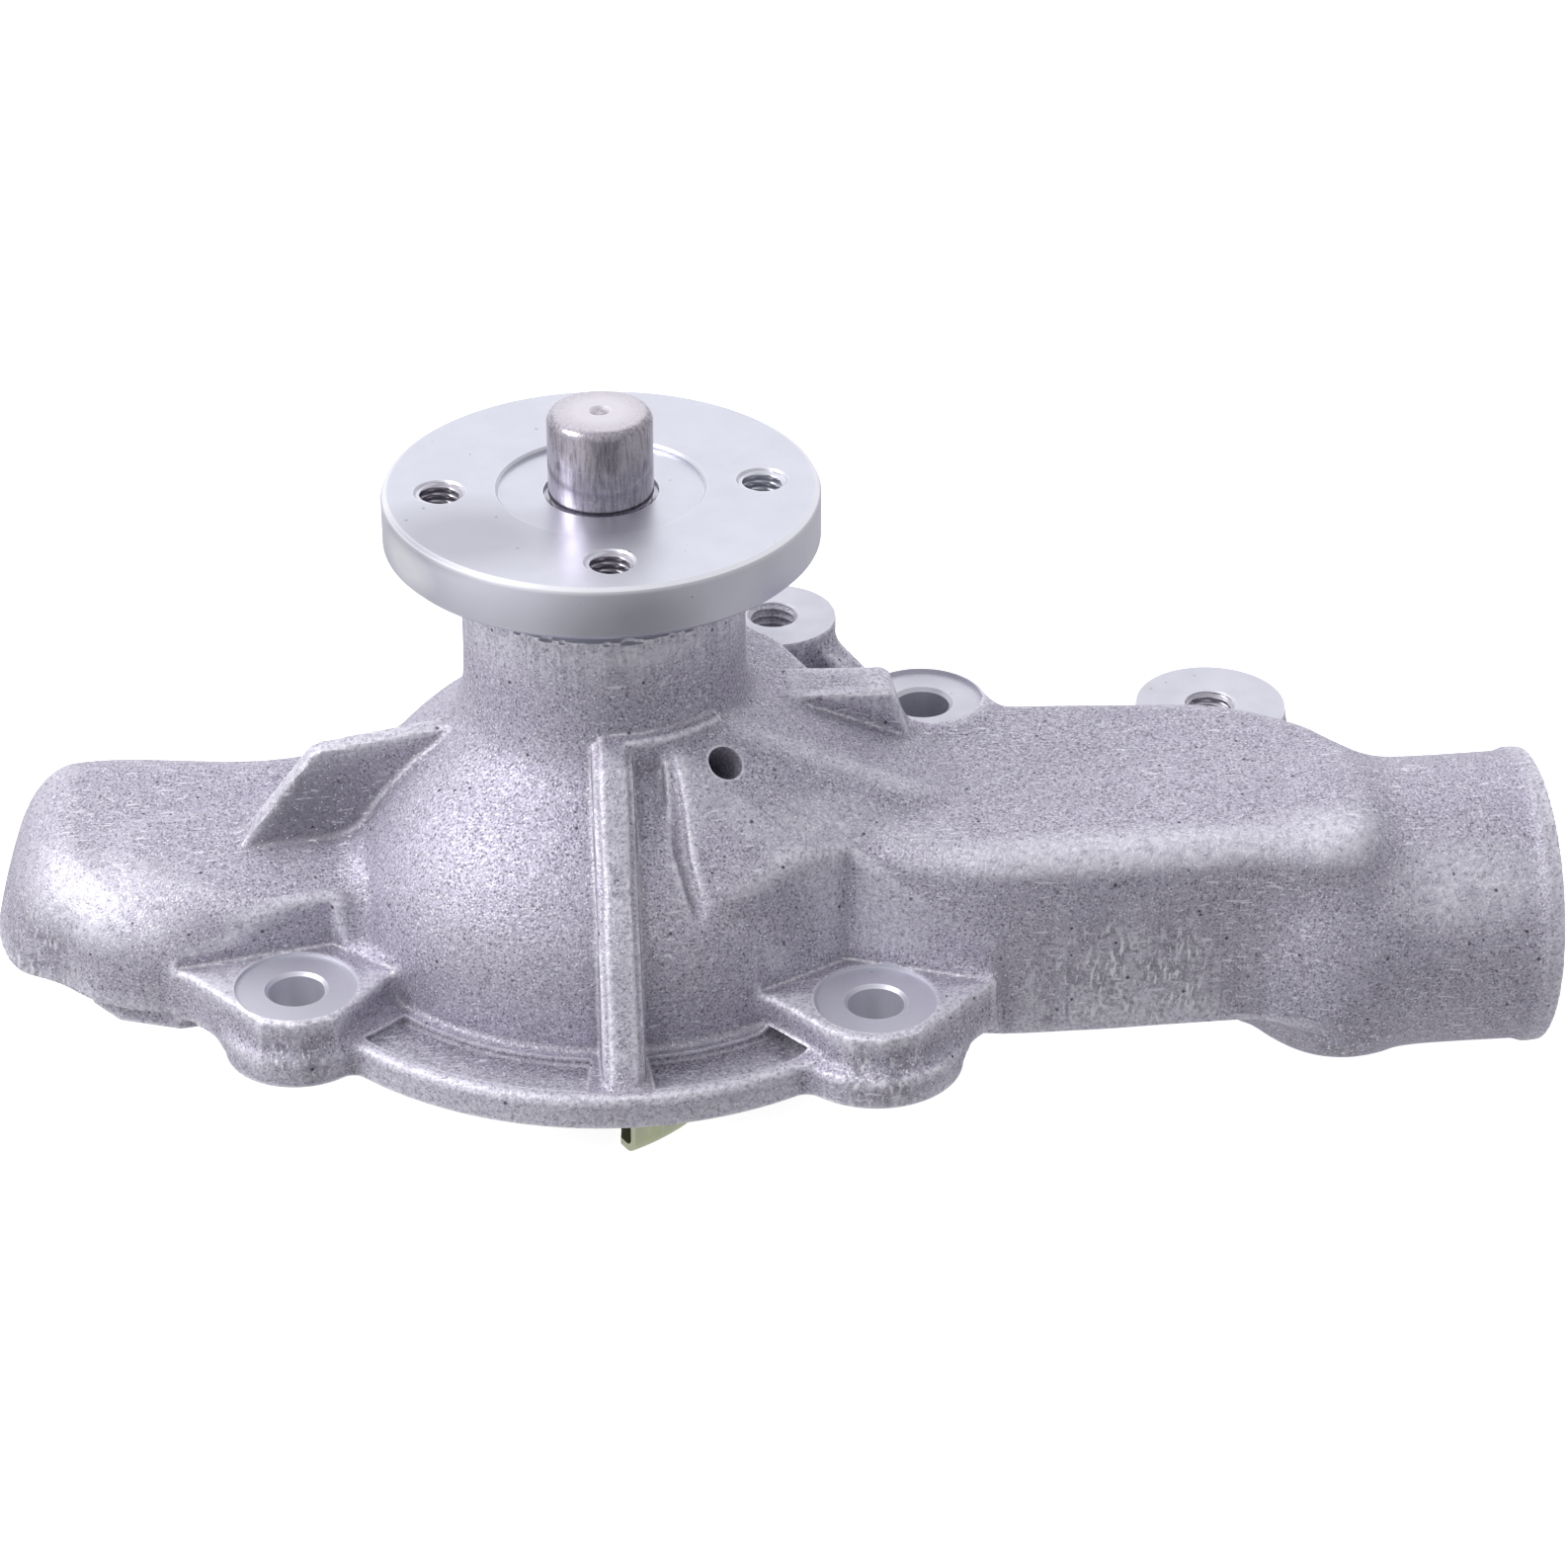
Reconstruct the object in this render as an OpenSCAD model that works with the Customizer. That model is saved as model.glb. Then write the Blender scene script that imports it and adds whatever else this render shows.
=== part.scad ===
// Engine coolant pump: cast aluminium housing, fan hub, integral-shaft bearing, face seal, stamped impeller.
// Frame: Z = 0 is the engine face, the shaft turns about +Z, and the hose neck points along +X. Millimetres.

/* [Shaft and hub] */
// Radius of the shaft at the bearing and in the hub
shaft_r = 9.525; // [9.525:0.005:9.535]
// Radius of the fan pilot, the shaft's free end
pilot_r = 9.5; // [9.4:0.01:9.51]
// Radius of the shaft at the seal and the impeller
shaft_small_r = 7.95; // [7.8:0.05:8]
// Height of the top of the shaft
shaft_top_z = 109.4; // [106:0.2:112]
// Radius of the fan hub's flange
hub_r = 39.5; // [38:0.5:42]
// Height of the fan hub's front face
hub_face_z = 94.4; // [93:0.2:96]
// Thickness of the fan hub's flange
hub_t = 10; // [8:0.5:10.5]
// Bolt circle diameter of the fan hub
hub_pcd = 57.9; // [56:0.1:60]
// Turn of the hub's bolt holes about the shaft, in degrees
hub_phase = -1.6; // [-10:0.1:10]

/* [Mounting flange] */
// Outer radius of the round flange
flange_r = 65.5; // [63:0.5:68]
// Thickness of the flange
flange_t = 6.3; // [6:0.1:7]
// Radius of the mounting bolt holes
bolt_hole_r = 5.15; // [5:0.05:5.5]
// Height of the ears that take the bolts
ear_h = 13; // [11:0.5:14]

/* [Casting] */
// Outer radius of the bearing snout
snout_r = 25.8; // [25:0.1:27]
// Height of the top of the snout
snout_top_z = 75; // [74.8:0.1:75.4]
// Outer radius of the dome at the flange
dome_r = 50.5; // [50:0.5:52]
// Wall thickness of the casting
wall = 4; // [3.5:0.5:5]
// Height of the right arm's flat top
arm_top_z = 38; // [36:0.5:39]
// Height of the left arm's top
left_top_z = 32; // [30:0.5:34]

/* [Hose neck] */
// Radius of the hose neck
neck_r = 27; // [26:0.25:27.5]
// Radius of the passage in the neck
neck_bore_r = 22.5; // [21:0.25:23]
// Where the neck's end lies along X
neck_end_x = 171; // [166:1:175]
// Offset of the neck's axis along Y
neck_y = -22; // [-23:0.5:-21]
// Height of the neck's axis
neck_z = 10; // [9:0.5:11]

/* [Impeller] */
// Radius at the vane tips
impeller_r = 46.2; // [44:0.2:46.6]
// Number of vanes
vane_n = 6; // [5:1:7]
// Sheet thickness
sheet_t = 1.4; // [1.2:0.1:1.6]
// Lowest point of the impeller
impeller_z = -20; // [-20.5:0.5:-19.5]

/* [Bearing] */
// Outer radius of the bearing
bearing_r = 19.05; // [19.05:0.01:19.1]
// Radius of the balls
ball_r = 3.97; // [3.95:0.01:3.97]
// Radius of the circle on which the balls and rollers run
race_pitch_r = 12.5; // [12.49:0.01:12.5]
// Radius of the rollers
roller_r = 3; // [2.96:0.01:3]
// Number of balls
ball_n = 8; // [6:1:8]
// Number of rollers
roller_n = 10; // [8:1:10]

/* [Hidden] */
$fn = 72;
eps = 0.01;

cast = [0.68, 0.67, 0.71];
machined = [0.80, 0.80, 0.83];
steel = [0.62, 0.62, 0.64];
rubber = [0.08, 0.08, 0.09];

// Heights inside the pump
bearing_z = 38;
bearing_h = 36.5;
ball_z = bearing_z + 9;
roller_z = bearing_z + 25;
roller_h = 10;
land_r = 15.6;
groove_r = ball_r + 0.03;
roller_pitch_r = (shaft_r + land_r) / 2;
bearing_seal_t = 2.2;
seal_bore_r = 18.25;
seal_top_z = 28;
tower_z = 11;
tower_r = 22.6;
drain_r = 15;
shaft_bottom_z = impeller_z + 0.6;
shaft_step_z = bearing_z - 1;
sleeve_r = 10.2;
seat_face_z = 7.88;
chamber_r = dome_r - wall;
bore_start_x = 124;
pocket_r0 = dome_r + 1.8;
pocket_r1 = flange_r - 2.5;
pocket_d = 1.3;

// Where the casting's features are
ear_left = [-59.5, -32.7];
ear_right = [44.1, -48.6];
ear_back = [-20, 60];
ears = [ear_left, ear_right, ear_back];
rear_bolt = [61, 15];
pad_a = [35, 36.6];
pad_a_z = 46;
pad_c = [119, 26];
pad_c_z = 27;
weep_out = [19.4, -26.6, 51];
weep_in = [7, -9.6, 29.8];
weep_r = 3.1;
post_r = 10.5;
ear_r = 13;
spot_r = 11.3;
thread_r = 4.2;
hub_hole_r = 3.3;
recess_z = hub_face_z - 1;

// A ring around the shaft axis from z0 to z1
module ring(r_in, r_out, z0, z1) {
    translate([0, 0, z0]) difference() {
        cylinder(r = r_out, h = z1 - z0);
        translate([0, 0, -1]) cylinder(r = r_in, h = z1 - z0 + 2);
    }
}

// A revolved solid around the shaft axis from its half section
module turned(section) {
    rotate_extrude() polygon(section);
}

// A convex block on the engine face with its upper edge drawn in by edge
module soft_block(outline, h, edge) {
    hull() {
        linear_extrude(h - edge) polygon(outline);
        linear_extrude(h) offset(delta = -edge) polygon(outline);
    }
}

// A straight rod between two points
module rod_between(a, b, r) {
    d = b - a;
    translate(a) rotate([0, acos(d[2] / norm(d)), atan2(d[1], d[0])]) cylinder(r = r, h = norm(d));
}

// An upright web in the half plane at an angle to +X, from points [radius, height]
module radial_web(angle, thick, points) {
    rotate([0, 0, angle]) translate([0, thick / 2, 0]) rotate([90, 0, 0]) linear_extrude(thick) polygon(points);
}

// ---------- Housing casting ----------

module dome() {
    turned([
        [0, 0], [dome_r, 0], [dome_r, 14], [dome_r - 0.7, 21], [dome_r - 2.5, 27], [44.5, 33], [40.5, 38],
        [36, 42.5], [31, 46.5], [27.5, 50.5], [snout_r, 56], [snout_r, snout_top_z], [0, snout_top_z]
    ]);
}

// An ear around a bolt hole at p, with an outline that ties it to the body
module ear(p, tie) {
    linear_extrude(ear_h) {
        translate(p) circle(r = ear_r);
        polygon(concat([p + ear_r * tie_way(p, tie[0])], tie, [p + ear_r * tie_way(p, tie[len(tie) - 1])]));
    }
}

// The direction in which a circle at p is touched by a line from the point q, on the side away from the axis
function tie_way(p, q) = let (
        d = q - p,
        side = sign(d[0] * p[1] - d[1] * p[0]),
        a = atan2(d[1], d[0]) + side * acos(ear_r / norm(d))
    )
    [cos(a), sin(a)];

module all_ears() {
    ear(ear_left, [[-81, -24.7], [-60, -15], [-40, -20], [-41.4, -29.2]]);
    ear(ear_right, [[23.4, -44.2], [25, -35], [50, -30], [66.4, -45.4]]);
    ear(ear_back, [[-46, 40], [-30, 30], [5, 30], [6, 60]]);
    translate([ear_right[0], ear_right[1], 0]) cylinder(r = ear_r + 2.6, h = flange_t - 1);
}

module left_arm_body() {
    soft_block([
        [-20, -14], [-52, -19.4], [-81, -24.7], [-101, -13], [-111, -7], [-114.3, 0],
        [-113, 9], [-107, 16], [-96, 20], [-40, 22], [-20, 22]
    ], left_top_z, 7);
}

module right_arm_body() {
    soft_block([
        [18, -27], [40.5, -35], [66.4, -44], [112, -44], [126, -40], [133, -20], [131, 0], [120, 8], [66, 11],
        [18, 26]
    ], arm_top_z, 4);
}

module neck_body() {
    swell_r = neck_r + 1.6;
    translate([0, neck_y, neck_z]) rotate([0, 90, 0]) turned([
        [0, 108], [neck_r - 9, 108], [neck_r - 6, 115], [neck_r - 2, 122], [swell_r, 130], [swell_r, 137],
        [neck_r, 144], [neck_r, neck_end_x - 1], [neck_r - 1, neck_end_x], [0, neck_end_x]
    ]);
}

module bosses() {
    translate([rear_bolt[0], rear_bolt[1], 0]) cylinder(r = 12, h = arm_top_z - 0.5);
    translate([pad_a[0], pad_a[1], 0]) cylinder(r = 11.5, h = pad_a_z);
    translate([pad_c[0], pad_c[1], 3]) cylinder(r = 14, h = pad_c_z - 3);
    translate([pad_c[0] - 13, 4, 3]) cube([26, pad_c[1] - 4, pad_c_z - 6]);
}

module webs() {
    radial_web(-92, 7, [[20, 1], [64.2, 1], [64.2, flange_t - 2], [29.5, 58], [20, 58]]);
    radial_web(184.5, 4, [[20, 1], [74, 1], [74, 20], [52.5, 46], [28, 49], [20, 49]]);
    translate([20, 3, 30]) rotate([90, 0, 0]) linear_extrude(6) polygon([[0, 0], [37, 0], [35, 18], [0, 20]]);
    translate([pad_a[0], pad_a[1], 0]) rotate([90, 0, -38]) linear_extrude(6)
        polygon([[0, 0], [30, 0], [30, 30], [9, 44], [0, 44]]);
}

// The water space under the dome, around the seal tower
module chamber() {
    turned([
        [0, -1], [chamber_r, -1], [chamber_r, 13], [chamber_r - 1, 20], [chamber_r - 3, 25], [39, 30],
        [35, 34], [31, 36], [tower_r + 3, 36], [tower_r, 33], [tower_r, tower_z], [0, tower_z]
    ]);
}

// The passage from the neck to the water space
module inlet_passage() {
    hull() {
        translate([34, -27, 6]) cube([4, 22, 26]);
        translate([64, -38.5, 6]) cube([4, 34, 26]);
    }
    hull() {
        translate([64, -38.5, 6]) cube([4, 34, 26]);
        translate([bore_start_x - 2, neck_y - 15, 5]) cube([4, 24, 26]);
    }
    translate([bore_start_x, neck_y, neck_z]) rotate([0, 90, 0])
        cylinder(r = neck_bore_r, h = neck_end_x - bore_start_x + 2);
}

// The delivery port in the left arm, open to the engine
module delivery_port() {
    hull() {
        translate([-95, 3, -1]) cylinder(r = 11, h = 22, $fn = 32);
        translate([-44, -4, -1]) cylinder(r = 15, h = 24, $fn = 32);
    }
}

// A shallow pocket in the flange, from an angle to +X over a sweep
module flange_pocket(start, sweep) {
    translate([0, 0, flange_t - pocket_d]) rotate([0, 0, start]) rotate_extrude(angle = sweep)
        translate([pocket_r0, 0]) square([pocket_r1 - pocket_r0, pocket_d + 1]);
}

module housing_bores() {
    translate([0, 0, bearing_z]) cylinder(r = bearing_r, h = bearing_h + 2);
    translate([0, 0, seal_top_z - eps]) cylinder(r = drain_r, h = bearing_z - seal_top_z + 2 * eps);
    translate([0, 0, tower_z - eps]) cylinder(r = seal_bore_r, h = seal_top_z - tower_z + eps);
    rod_between(weep_out + (weep_out - weep_in) * 0.5, weep_in, weep_r);
    for (p = ears) {
        translate([p[0], p[1], -1]) cylinder(r = bolt_hole_r, h = ear_h + 2);
        translate([p[0], p[1], ear_h - 0.6]) cylinder(r = spot_r, h = 8);
    }
    flange_pocket(-139, 40);
    flange_pocket(-87, 24);
    translate([rear_bolt[0], rear_bolt[1], -1]) cylinder(r = bolt_hole_r, h = arm_top_z + 2);
    translate([rear_bolt[0], rear_bolt[1], arm_top_z - 1.2]) cylinder(r = 11, h = 8);
    translate([pad_a[0], pad_a[1], pad_a_z - 22]) cylinder(r = thread_r, h = 23);
    translate([pad_c[0], pad_c[1], 0]) cylinder(r = thread_r, h = pad_c_z + 1);
}

module pump_housing() color(cast) {
    difference() {
        union() {
            cylinder(r = flange_r, h = flange_t);
            dome();
            all_ears();
            left_arm_body();
            right_arm_body();
            neck_body();
            bosses();
            webs();
        }
        difference() {
            union() {
                chamber();
                inlet_passage();
                delivery_port();
            }
            translate([rear_bolt[0], rear_bolt[1], 0]) cylinder(r = post_r, h = arm_top_z);
            translate([pad_a[0], pad_a[1], 0]) cylinder(r = 8, h = pad_a_z);
        }
        housing_bores();
    }
}

// ---------- Bearing ----------

module bearing_outer_ring() color(steel) {
    difference() {
        ring(land_r, bearing_r, bearing_z, bearing_z + bearing_h);
        translate([0, 0, ball_z]) rotate_extrude() translate([race_pitch_r, 0]) circle(r = groove_r);
    }
}

module bearing_seal(z) {
    turned([
        [shaft_r + 0.08, z + 0.8], [shaft_r + 0.9, z], [land_r, z], [land_r, z + bearing_seal_t],
        [land_r - 1.2, z + bearing_seal_t], [shaft_r + 1.4, z + 1.7], [shaft_r + 0.08, z + 1.3]
    ]);
}

module bearing_front_seal() color(rubber) bearing_seal(bearing_z + bearing_h - 0.3 - bearing_seal_t);

module bearing_rear_seal() color(rubber) bearing_seal(bearing_z + 0.3);

module bearing_balls() color(machined) {
    for (i = [0 : ball_n - 1]) {
        rotate([0, 0, i * 360 / ball_n]) translate([race_pitch_r, 0, ball_z]) sphere(r = ball_r, $fn = 48);
    }
}

module ball_cage() color([0.85, 0.80, 0.66]) {
    difference() {
        ring(race_pitch_r - 1.3, race_pitch_r + 1.3, ball_z - 5.2, ball_z + 5.2);
        for (i = [0 : ball_n - 1]) {
            rotate([0, 0, i * 360 / ball_n]) translate([race_pitch_r, 0, ball_z]) sphere(r = ball_r + 0.1);
        }
    }
}

module bearing_rollers() color(machined) {
    for (i = [0 : roller_n - 1]) {
        rotate([0, 0, i * 360 / roller_n]) translate([roller_pitch_r, 0, roller_z - roller_h / 2])
            cylinder(r = roller_r, h = roller_h);
    }
}

module roller_cage() color([0.85, 0.80, 0.66]) {
    pocket_h = roller_h + 0.2;
    difference() {
        ring(roller_pitch_r - 1.3, roller_pitch_r + 1.3, roller_z - 6.8, roller_z + 6.8);
        for (i = [0 : roller_n - 1]) {
            rotate([0, 0, i * 360 / roller_n]) translate([roller_pitch_r, 0, roller_z - pocket_h / 2])
                cylinder(r = roller_r + 0.1, h = pocket_h);
        }
    }
}

// ---------- Coolant seal ----------

module seal_case() color([0.78, 0.62, 0.32]) {
    turned([
        [sleeve_r, 16], [sleeve_r + 0.8, 16], [sleeve_r + 0.8, 26.6], [seal_bore_r - 0.9, 26.6],
        [seal_bore_r - 0.9, tower_z - 1], [21.5, tower_z - 1], [21.5, tower_z], [seal_bore_r, tower_z],
        [seal_bore_r, 27.5], [sleeve_r, 27.5]
    ]);
}

module seal_bellows() color(rubber) {
    turned([
        [11, 13.5], [16.2, 13.5], [16.2, 15], [12.3, 15], [12.3, 17], [13.4, 18], [13.4, 19], [12.3, 20],
        [12.3, 21], [13.4, 22], [13.4, 23], [12.3, 24], [12.3, 25.2], [17.2, 25.2], [17.2, 26.6], [11, 26.6]
    ]);
}

// The end of ring i of the spring's wire, as a closed loop of points
function wire_ring(i, turn_n, ring_n, r, wire_r, z0, z1, side_n) = let (
        a = 360 * turn_n * i / ring_n,
        z = z0 + (z1 - z0) * i / ring_n
    )
    [for (k = [0 : side_n - 1]) let (b = 360 * k / side_n, q = r + wire_r * cos(b))
        [q * cos(a), q * sin(a), z + wire_r * sin(b)]];

module coil(turn_n, r, wire_r, z0, z1) {
    ring_n = turn_n * 20;
    side_n = 8;
    points = [for (i = [0 : ring_n]) each wire_ring(i, turn_n, ring_n, r, wire_r, z0, z1, side_n)];
    walls = [for (i = [0 : ring_n - 1], k = [0 : side_n - 1]) let (n = (k + 1) % side_n)
        [i * side_n + k, (i + 1) * side_n + k, (i + 1) * side_n + n, i * side_n + n]];
    start = [for (k = [0 : side_n - 1]) k];
    end = [for (k = [side_n - 1 : -1 : 0]) ring_n * side_n + k];
    polyhedron(points, concat(walls, [start, end]));
}

module seal_spring() color(steel) {
    wire_r = 0.65;
    coil(4, 15.2, wire_r, 15.6 + wire_r, 25.2 - wire_r);
}

module seal_spring_seat() color(machined) {
    turned([[13.6, 15], [16.2, 15], [16.2, 11.6], [16.8, 11.6], [16.8, 15.6], [13.6, 15.6]]);
}

module seal_carbon_ring() color([0.16, 0.16, 0.17]) {
    turned([[11, seat_face_z + 1.2], [12, seat_face_z + 0.02], [15, seat_face_z + 0.02],
        [15, seat_face_z + 1.2], [16.2, seat_face_z + 1.2], [16.2, 13.5], [11, 13.5]]);
}

// ---------- Rotor ----------

module pump_shaft() color(steel) {
    chamfer = 1.2;
    undercut = 1.2;
    difference() {
        turned([
            [0, shaft_bottom_z], [shaft_small_r - 0.6, shaft_bottom_z], [shaft_small_r, shaft_bottom_z + 0.6],
            [shaft_small_r, shaft_step_z - 0.8], [shaft_r, shaft_step_z], [shaft_r, recess_z - undercut],
            [pilot_r - 0.5, recess_z - undercut], [pilot_r - 0.5, recess_z], [pilot_r, recess_z],
            [pilot_r, shaft_top_z - chamfer], [pilot_r - chamfer, shaft_top_z], [0, shaft_top_z]
        ]);
        translate([0, 0, ball_z]) rotate_extrude() translate([race_pitch_r, 0]) circle(r = groove_r);
        translate([0, 0, shaft_top_z - 1.2]) cylinder(r1 = 0, r2 = 2.2, h = 1.21);
    }
}

module fan_hub() color(machined) {
    chamfer = 1;
    recess_r = 18.5;
    boss_r = 16;
    difference() {
        turned([
            [shaft_r, snout_top_z + 1.4], [boss_r, snout_top_z + 1.4], [boss_r, hub_face_z - hub_t - 2],
            [boss_r + 2, hub_face_z - hub_t], [hub_r - chamfer, hub_face_z - hub_t],
            [hub_r, hub_face_z - hub_t + chamfer], [hub_r, hub_face_z - chamfer], [hub_r - chamfer, hub_face_z],
            [recess_r, hub_face_z], [recess_r, recess_z], [shaft_r + 0.4, recess_z],
            [shaft_r + 0.4, recess_z - 1.2], [shaft_r, recess_z - 1.2]
        ]);
        for (i = [0 : 3]) {
            rotate([0, 0, hub_phase + 90 * i]) translate([hub_pcd / 2, 0, hub_face_z - hub_t - 1])
                cylinder(r = hub_hole_r, h = hub_t + 2);
        }
    }
}

// Each vane is an arc: its circle's centre, seen from the axis with the vane's tip on -Y
vane_arc_r = 40;
vane_start = -64;
vane_sweep = 57;
vane_centre = [-vane_arc_r * cos(vane_start), -impeller_r + 0.6 - vane_arc_r * sin(vane_start)];
vane_h = 18.5;

// A pie slice of a circle of radius r around the vane's centre
module vane_pie(r) {
    translate(vane_centre) intersection() {
        circle(r = r);
        polygon([[0, 0], 2 * r * [cos(vane_start), sin(vane_start)],
            2 * r * [cos(vane_start + vane_sweep), sin(vane_start + vane_sweep)]]);
    }
}

module impeller_plate() {
    circle(r = 26);
    for (i = [0 : vane_n - 1]) {
        rotate([0, 0, i * 360 / vane_n]) vane_pie(vane_arc_r + sheet_t / 2);
    }
}

module impeller_vanes() {
    for (i = [0 : vane_n - 1]) {
        rotate([0, 0, i * 360 / vane_n]) difference() {
            vane_pie(vane_arc_r + sheet_t / 2);
            translate(vane_centre) circle(r = vane_arc_r - sheet_t / 2);
        }
    }
}

module impeller() color([0.72, 0.74, 0.56]) {
    translate([0, 0, impeller_z]) difference() {
        union() {
            linear_extrude(sheet_t) impeller_plate();
            linear_extrude(vane_h) impeller_vanes();
        }
        translate([0, 0, -1]) cylinder(r = 10, h = sheet_t + 2);
        for (i = [0 : vane_n - 1]) {
            rotate([0, 0, i * 360 / vane_n + 12]) translate([19, 0, -1]) cylinder(r = 2.5, h = sheet_t + 2);
        }
    }
}

module impeller_bush() color(steel) {
    turned([
        [shaft_small_r, impeller_z], [10, impeller_z], [10, impeller_z + sheet_t], [12.5, impeller_z + sheet_t],
        [12.5, 2], [shaft_small_r, 2]
    ]);
}

module ceramic_seat() color([0.92, 0.91, 0.88]) ring(9.3, 16.5, 3.4, seat_face_z);

module ceramic_seat_cup() color(rubber) {
    turned([
        [shaft_small_r, 2], [17.6, 2], [17.6, 6.4], [16.5, 6.4], [16.5, 3.4], [9.3, 3.4], [9.3, 7.2],
        [shaft_small_r, 7.2]
    ]);
}

module slinger_ring() color(machined) {
    turned([[shaft_small_r, 31], [8.8, 31], [13, 32.6], [13, 33.6], [8.8, 33.2], [8.8, 35], [shaft_small_r, 35]]);
}

pump_housing();
bearing_outer_ring();
bearing_front_seal();
bearing_rear_seal();
seal_case();
seal_bellows();
seal_spring();
seal_spring_seat();
seal_carbon_ring();
pump_shaft();
fan_hub();
impeller();
impeller_bush();
ceramic_seat();
ceramic_seat_cup();
slinger_ring();
bearing_balls();
ball_cage();
bearing_rollers();
roller_cage();
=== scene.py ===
"""An engine coolant pump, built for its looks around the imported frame.

Shapes are worked out in millimetres and scaled to metres when they become meshes.
"""

import math

import bmesh
import bpy
import numpy as np
import openvdb
from mathutils import Matrix, Vector


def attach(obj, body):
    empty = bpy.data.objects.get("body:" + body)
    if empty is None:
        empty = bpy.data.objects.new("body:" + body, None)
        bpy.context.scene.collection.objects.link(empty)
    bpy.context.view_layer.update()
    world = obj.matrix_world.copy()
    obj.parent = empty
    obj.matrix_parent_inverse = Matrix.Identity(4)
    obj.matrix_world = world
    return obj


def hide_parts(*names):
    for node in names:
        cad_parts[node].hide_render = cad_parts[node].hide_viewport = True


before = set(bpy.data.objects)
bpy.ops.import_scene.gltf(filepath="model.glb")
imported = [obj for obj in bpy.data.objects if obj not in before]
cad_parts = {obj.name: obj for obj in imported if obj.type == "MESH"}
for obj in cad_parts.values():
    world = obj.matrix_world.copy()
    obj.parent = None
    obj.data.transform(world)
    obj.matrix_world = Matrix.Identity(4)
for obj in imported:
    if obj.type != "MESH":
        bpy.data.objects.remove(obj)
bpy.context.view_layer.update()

MM = 0.001
STEP = 0.65  # the casting's grid
LOOKUP_STEP = 0.25  # the grid of distances to a turned shape's outline
REACH = 12.0  # how far a shape's distances are kept around it
THIN_RATIO = 0.40  # the share of the casting's faces that is kept
EDGE_PASSES = 6  # how far the field is smoothed to tell ridges from hollows

# ---------- Main sizes ----------

# as in the solids, but the snout is 1.2 mm taller here, so that its top is hidden under the hub
FLANGE_R, FLANGE_T = 65.5, 6.3
POCKET_R0, POCKET_R1, POCKET_Z = 53.0, 63.0, 4.9
DOME_R = 50.5
SNOUT_R, SNOUT_TOP = 25.8, 76.2
NECK_Y, NECK_Z, NECK_R, NECK_BORE, NECK_END = -22.0, 10.0, 27.0, 22.5, 171.0
EAR_LEFT, EAR_RIGHT, EAR_BACK = (-59.5, -32.7), (44.1, -48.6), (-20.0, 60.0)
EAR_H = 13.0
REAR_BOLT, PAD_A, PAD_C = (61.0, 15.0), (35.0, 36.6), (119.0, 26.0)
ARM_TOP, PAD_A_Z, PAD_C_Z = 38.0, 46.0, 27.0
BOLT_R, SPOT_R, REAR_SPOT_R = 5.15, 11.2, 11.4
RIB_ANGLE, GUSSET_ANGLE = -92.3, 184.5
# the flat tops of the front ears, which reach back to the arms
DIAMOND_RIGHT = [(23.4, -44.2), (34.5, -64), (56, -64), (66.4, -45.4), (40.5, -35.1)]
DIAMOND_LEFT = [(-81, -24.7), (-68, -50), (-50, -50), (-41.4, -29.2), (-52.6, -19.4)]

CHAMBER_R, TOWER_R, TOWER_Z = 46.5, 22.6, 11
BEARING_R, BEARING_Z, BEARING_TOP = 19.05, 38, 74.3
SEAL_R, SEAL_Z, DRAIN_R = 18.25, 28, 15
WEEP_R, WEEP_START, WEEP_WAY = 3.25, (7, -9.6, 29.8), (12.4, -17.0, 21.2)

HUB_R, HUB_FACE, HUB_T, HUB_RECESS = 39.5, 94.4, 10.0, 1.0
BOSS_R, RECESS_R, HUB_CIRCLE_R, HUB_PHASE = 16.0, 18.5, 28.95, -1.6
SHAFT_R, SHAFT_SMALL_R, PILOT_R, UNDERCUT_R = 9.525, 7.95, 9.5, 9.0
SHAFT_TOP, SHAFT_END = 109.4, -19.4
BALL_RACE_R, BALL_GROOVE_R, BALL_Z = 12.5, 4.0, 47
# inner radius, outer radius and pitch
HUB_THREAD, PAD_THREAD = (3.6, 4.4, 1.41), (4.2, 4.9, 1.59)

VANE_R, VANE_START, VANE_SWEEP, VANES, SHEET = 40.0, -64.0, 57.0, 6, 1.4
TIP_R = 45.6  # to the middle of a vane's sheet
LOW_Z, BEND_R, VANE_TOP, PLATE_R = -20.0, 3.0, -1.5, 26


# ---------- Distances, below 0 in metal ----------


def outline_distance(points, u, v):
    """Distance to a closed outline, below 0 inside."""
    shape = np.broadcast(u, v).shape
    best = np.full(shape, 1e9, np.float32)
    inside = np.zeros(shape, bool)
    for (ax, ay), (bx, by) in zip(points, np.roll(points, -1, 0)):
        ex, ey = bx - ax, by - ay
        wx, wy = u - ax, v - ay
        t = np.clip((wx * ex + wy * ey) / (ex * ex + ey * ey), 0, 1)
        best = np.minimum(best, (wx - ex * t) ** 2 + (wy - ey * t) ** 2)
        if ay != by:
            inside ^= ((ay > v) != (by > v)) & (wx < ex * wy / ey)
    return np.where(inside, -1, 1).astype(np.float32) * np.sqrt(best)


def curve(points, steps=5, closed=True):
    """A smooth line through the points."""
    p = np.array(points, float)
    n = len(p)

    def point(k):
        return p[k % n] if closed else p[min(max(k, 0), n - 1)]

    out = []
    for i in range(n if closed else n - 1):
        a, b, c, d = (point(i + k) for k in (-1, 0, 1, 2))
        square, cube = 2 * a - 5 * b + 4 * c - d, 3 * b - a - 3 * c + d
        for t in np.arange(steps) / steps:
            out.append(0.5 * (2 * b + (c - a) * t + square * t**2 + cube * t**3))
    if not closed:
        out.append(p[-1])
    return np.array(out)


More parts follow.
